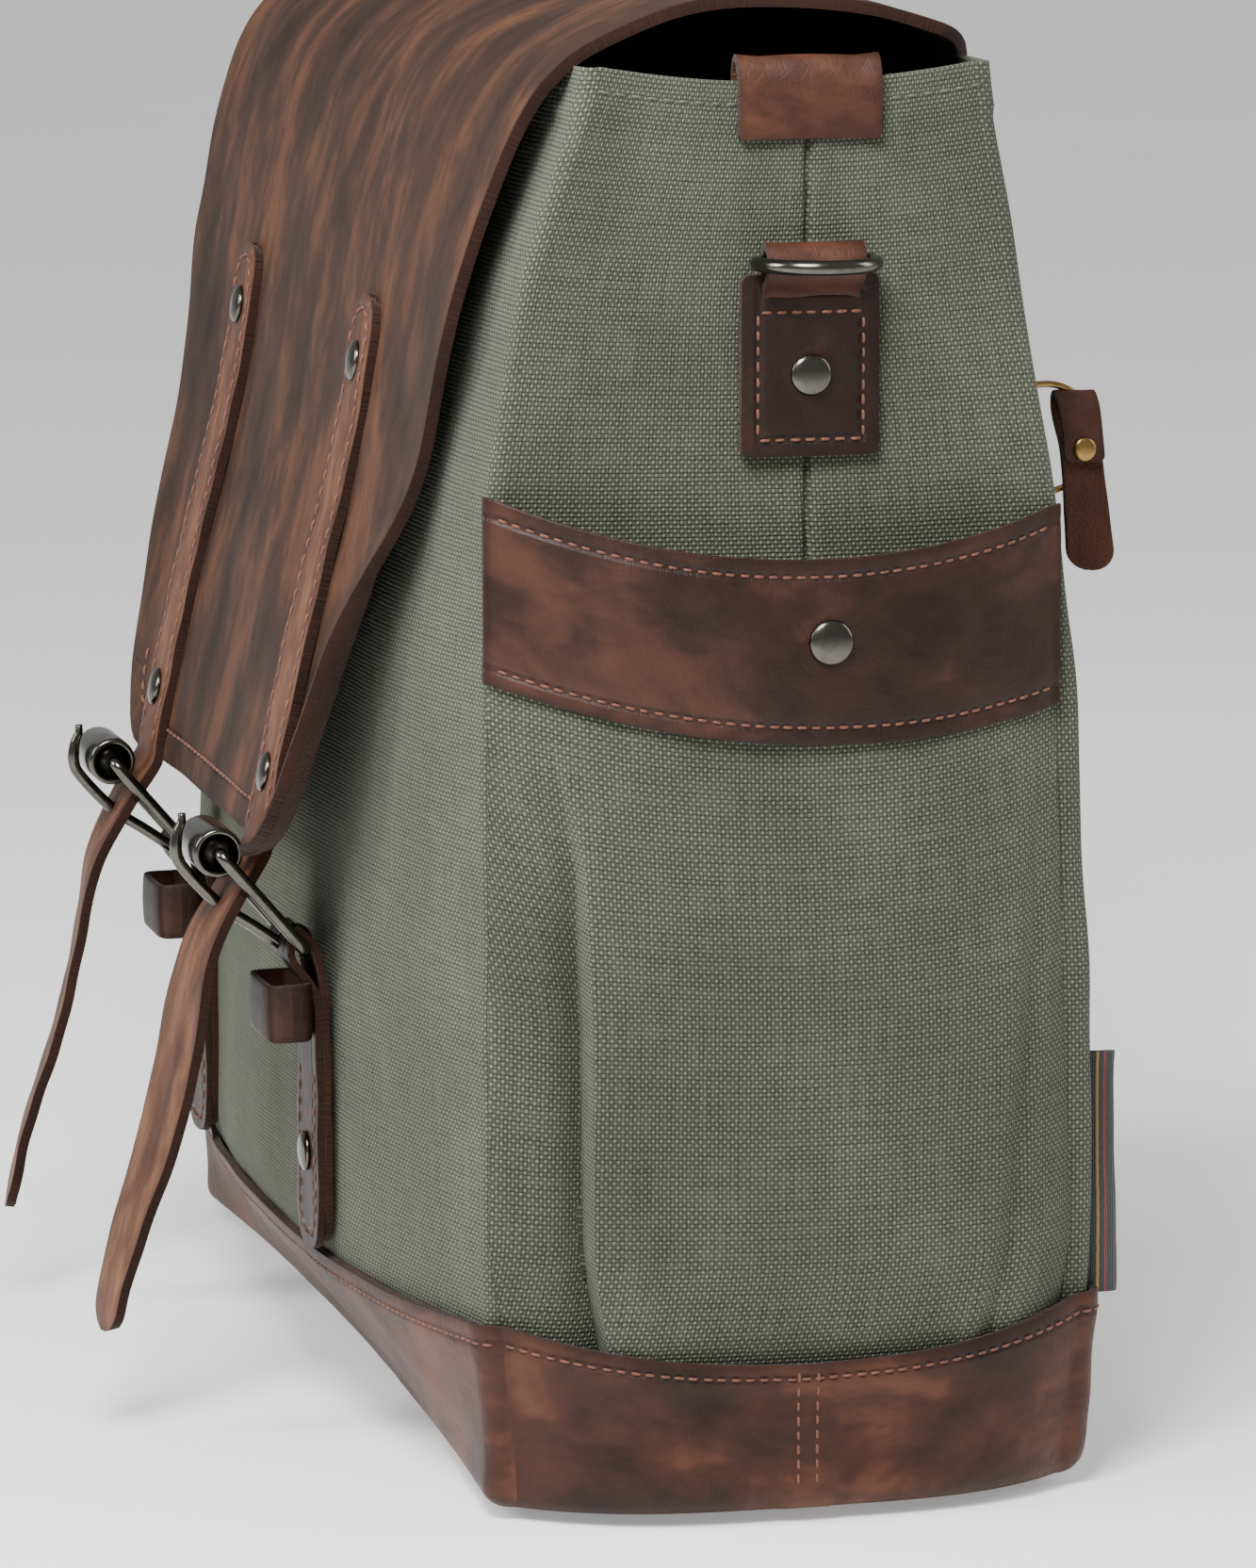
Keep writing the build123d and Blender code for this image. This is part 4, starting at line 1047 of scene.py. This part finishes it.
# ---- label, zip, ring and leather pull
low, high = box("woven_label")
path = Run([(171.9, low[1] - 4, 0), (172.3, low[1] + 2, 0), (172.1, high[1] - 3.8, 0),
            (171.2, high[1] - 2.8, 0), (170.4, high[1] - 4, 0), (170.2, low[1] - 4, 0)])
label = belt(path, 0.8, (0, 0, -1), (high[2] - low[2]) / 2, 0.45,
             lambda s, w, h: 0.5 * np.sin(w / 11) + 0.3 * ripple(s, w, 22, 81), 40)
label.points[..., 2] += (low[2] + high[2]) / 2
label.points[..., 0] += 0.012 * label.columns
place(label.build("label_loop", 0.45, [LABEL], bevel=0.12), "bag", "label", "woven_label")

tilt = np.radians(9.4)      # of the back panel
low, high = box("zip_tape")
zip_mid = middle("zip_tape")
across = np.array([0, -np.sin(tilt), np.cos(tilt)])
facing = np.array([0, np.cos(tilt), np.sin(tilt)])
path = Run([(x, zip_mid[1], zip_mid[2]) for x in (low[0], 0, high[0])])
tape = belt(path, 3.0, across, 11.0, 0.8,
            lambda s, w, h: 0.12 * ripple(s, w, 30, 83) + 0.25 * ridge(np.abs(w), 2.4, 0.8), 22)
place(tape.build("zip_tape_cloth", 0.8, [TAPE], bevel=0.2), "bag", "zip_tape", "zip_tape")
lines = [(tape, np.linspace(4, path.length - 4, 60), np.full(60, w)) for w in (-8.5, 8.5)]
sew("zip_stitches", lines, (3.8, 2.9, 0.36), thread=CANVAS_THREAD, slot="zip_tape")
teeth_low, teeth_high = box("zip_teeth")
cube = np.array([(i, j, k) for i in (-1, 1) for j in (-1, 1) for k in (-1, 1)], float)
sides = [(0, 1, 3, 2), (4, 6, 7, 5), (0, 4, 5, 1), (2, 3, 7, 6), (0, 2, 6, 4), (1, 5, 7, 3)]
vertices, faces = [], []
for i, x in enumerate(np.arange(teeth_low[0] + 1, teeth_high[0] - 1, 0.82)):
    up = 1 if i % 2 else -1
    spot = np.array([x, zip_mid[1], zip_mid[2]]) + facing * 1.05 + across * up * 1.0
    tooth = cube * (0.34, 1.3, 0.6)
    tooth[:, 0] *= 1 - 0.25 * cube[:, 1] * up
    faces += [tuple(8 * i + j for j in side) for side in sides]
    vertices.append(spot + tooth @ np.array([(1, 0, 0), across, facing]))
teeth = mesh_object("zip_teeth_row", np.vstack(vertices), faces, [BRASS], smooth=False)
place(teeth, "bag", "antique_brass", "zip_teeth")

fob_mid = middle("fob")
low_z, top_z = box("fob")[0][2], box("fob")[1][2]
PULL_BACK, PULL_DOWN = 7.5, 5.5    # how far the pull hangs from the CAD's
path = Run([(x, fob_mid[1] + PULL_BACK + 0.1 * (top_z - z), z - PULL_DOWN) for x, z in (
    (110.7, top_z - 17.5), (110.7, top_z - 10), (109.9, top_z - 4.2), (107.6, top_z - 1.0),
    (104.6, top_z - 1.2), (103.2, top_z - 4.4), (104.8, top_z - 8.4), (107.6, top_z - 13),
    (108.7, top_z - 20), (108.9, top_z - 30), (108.6, low_z))])
s = spaced(path.length, 1.0, 2.0, 5.6)
width = rounded(s, path.length, 5.2 + 1.0 * fade(s, 30, path.length), 2.0, 5.6)
pull = ribbon(path, s, (0, 1, 0), width, 1.7,
              lambda s, w, h: 0.25 * (1 - (w / 6.2) ** 2) + 0.15 * ripple(s, w, 9, 91), 10)
place(pull.build("leather_pull", 1.7, [SMOOTH, FLESH, CUT], edge=strip_edges(pull), bevel=0.5),
      "zip_pull", "leather", "fob")
cap_place = (111.4, fob_mid[1] + (PULL_BACK + 1.4), middle("fob_rivet")[2] - PULL_DOWN)
place(dome("pull_cap", cap_place, (1, 0, 0), 3.0, 1.4, BRASS),
      "zip_pull", "antique_brass", "fob_rivet")

# ---- CAD pieces that keep their shape
KEPT = {"base_pad": PAD, "inner_pocket": LINING_CAD, "zip_slider": BRASS, "pull_ring": BRASS}
for side, _ in SIDES:
    for part in ("snap_stud", "dring", "buckle_frame"):
        KEPT[f"{side}_{part}"] = GUNMETAL
for name, material in KEPT.items():
    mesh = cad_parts[name].data
    mesh.materials.clear()
    mesh.materials.append(material)

# ---- floor, light, camera
white = Paint("pale_floor", "Object")
dust = white.noise(3, 3, 3, detail=6.0)
grain = white.noise(240, 240, 240, detail=4.0)
floor_paint = white.done(Base_Color=white.ramp(dust, [(0.2, (0.86, 0.86, 0.86)),
                                                     (0.8, (0.92, 0.92, 0.92))]),
                         Roughness=0.75, Normal=white.bump(grain, 0.1, 0.2),
                         Emission_Color=(1, 1, 1, 1), Emission_Strength=0.3)
turn = np.linspace(0, 2 * pi, 97)[:-1]
disc = np.vstack([(0, 0, -0.2), *[(15000 * np.cos(a), 15000 * np.sin(a), -0.2) for a in turn]])
floor = mesh_object("floor", disc, [(0, i + 1, (i + 1) % 96 + 1) for i in range(96)],
                    [floor_paint])

world = bpy.data.worlds.new("studio")
bpy.context.scene.world = world
world.use_nodes = True
sky = world.node_tree.nodes["Background"].inputs
sky["Color"].default_value = (1, 1, 1, 1)
sky["Strength"].default_value = 0.45


def softbox(name, spot, aim, power, size):
    """A soft area light at spot, pointing at aim, all in metres and watts."""
    lamp = bpy.data.lights.new(name, "AREA")
    lamp.shape = "RECTANGLE"
    lamp.size, lamp.size_y = size
    lamp.energy = power
    made = bpy.data.objects.new(name, lamp)
    made.location = spot
    made.rotation_euler = (Vector(aim) - Vector(spot)).to_track_quat("-Z", "Y").to_euler()
    bpy.context.scene.collection.objects.link(made)


softbox("key", (0.66, -0.34, 0.92), (0.16, -0.03, 0.31), 21, (0.4, 0.4))
softbox("front", (0.1, -1.7, 1.1), (0.02, -0.08, 0.2), 32, (0.6, 0.9))
softbox("rim", (0.3, 1.8, 1.0), (0.0, 0.05, 0.2), 14, (0.6, 1.2))

# the photo's view
lens = bpy.data.cameras.new("photo_camera")
lens.lens, lens.sensor_width = 173.08, 36.0
lens.clip_end = 50
camera = bpy.data.objects.new("photo_camera", lens)
look, right, up = (Vector(v) for v in ((-0.9580, 0.2381, -0.1597), (0.2412, 0.9705, 0.0),
                                       (-0.1550, 0.0385, 0.9871)))
camera.matrix_world = Matrix.Translation((1.90628, -0.47002, 0.46681)) @ Matrix(
    (right, up, -look)).transposed().to_4x4()
bpy.context.scene.collection.objects.link(camera)
bpy.context.scene.camera = camera

bpy.context.view_layer.update()
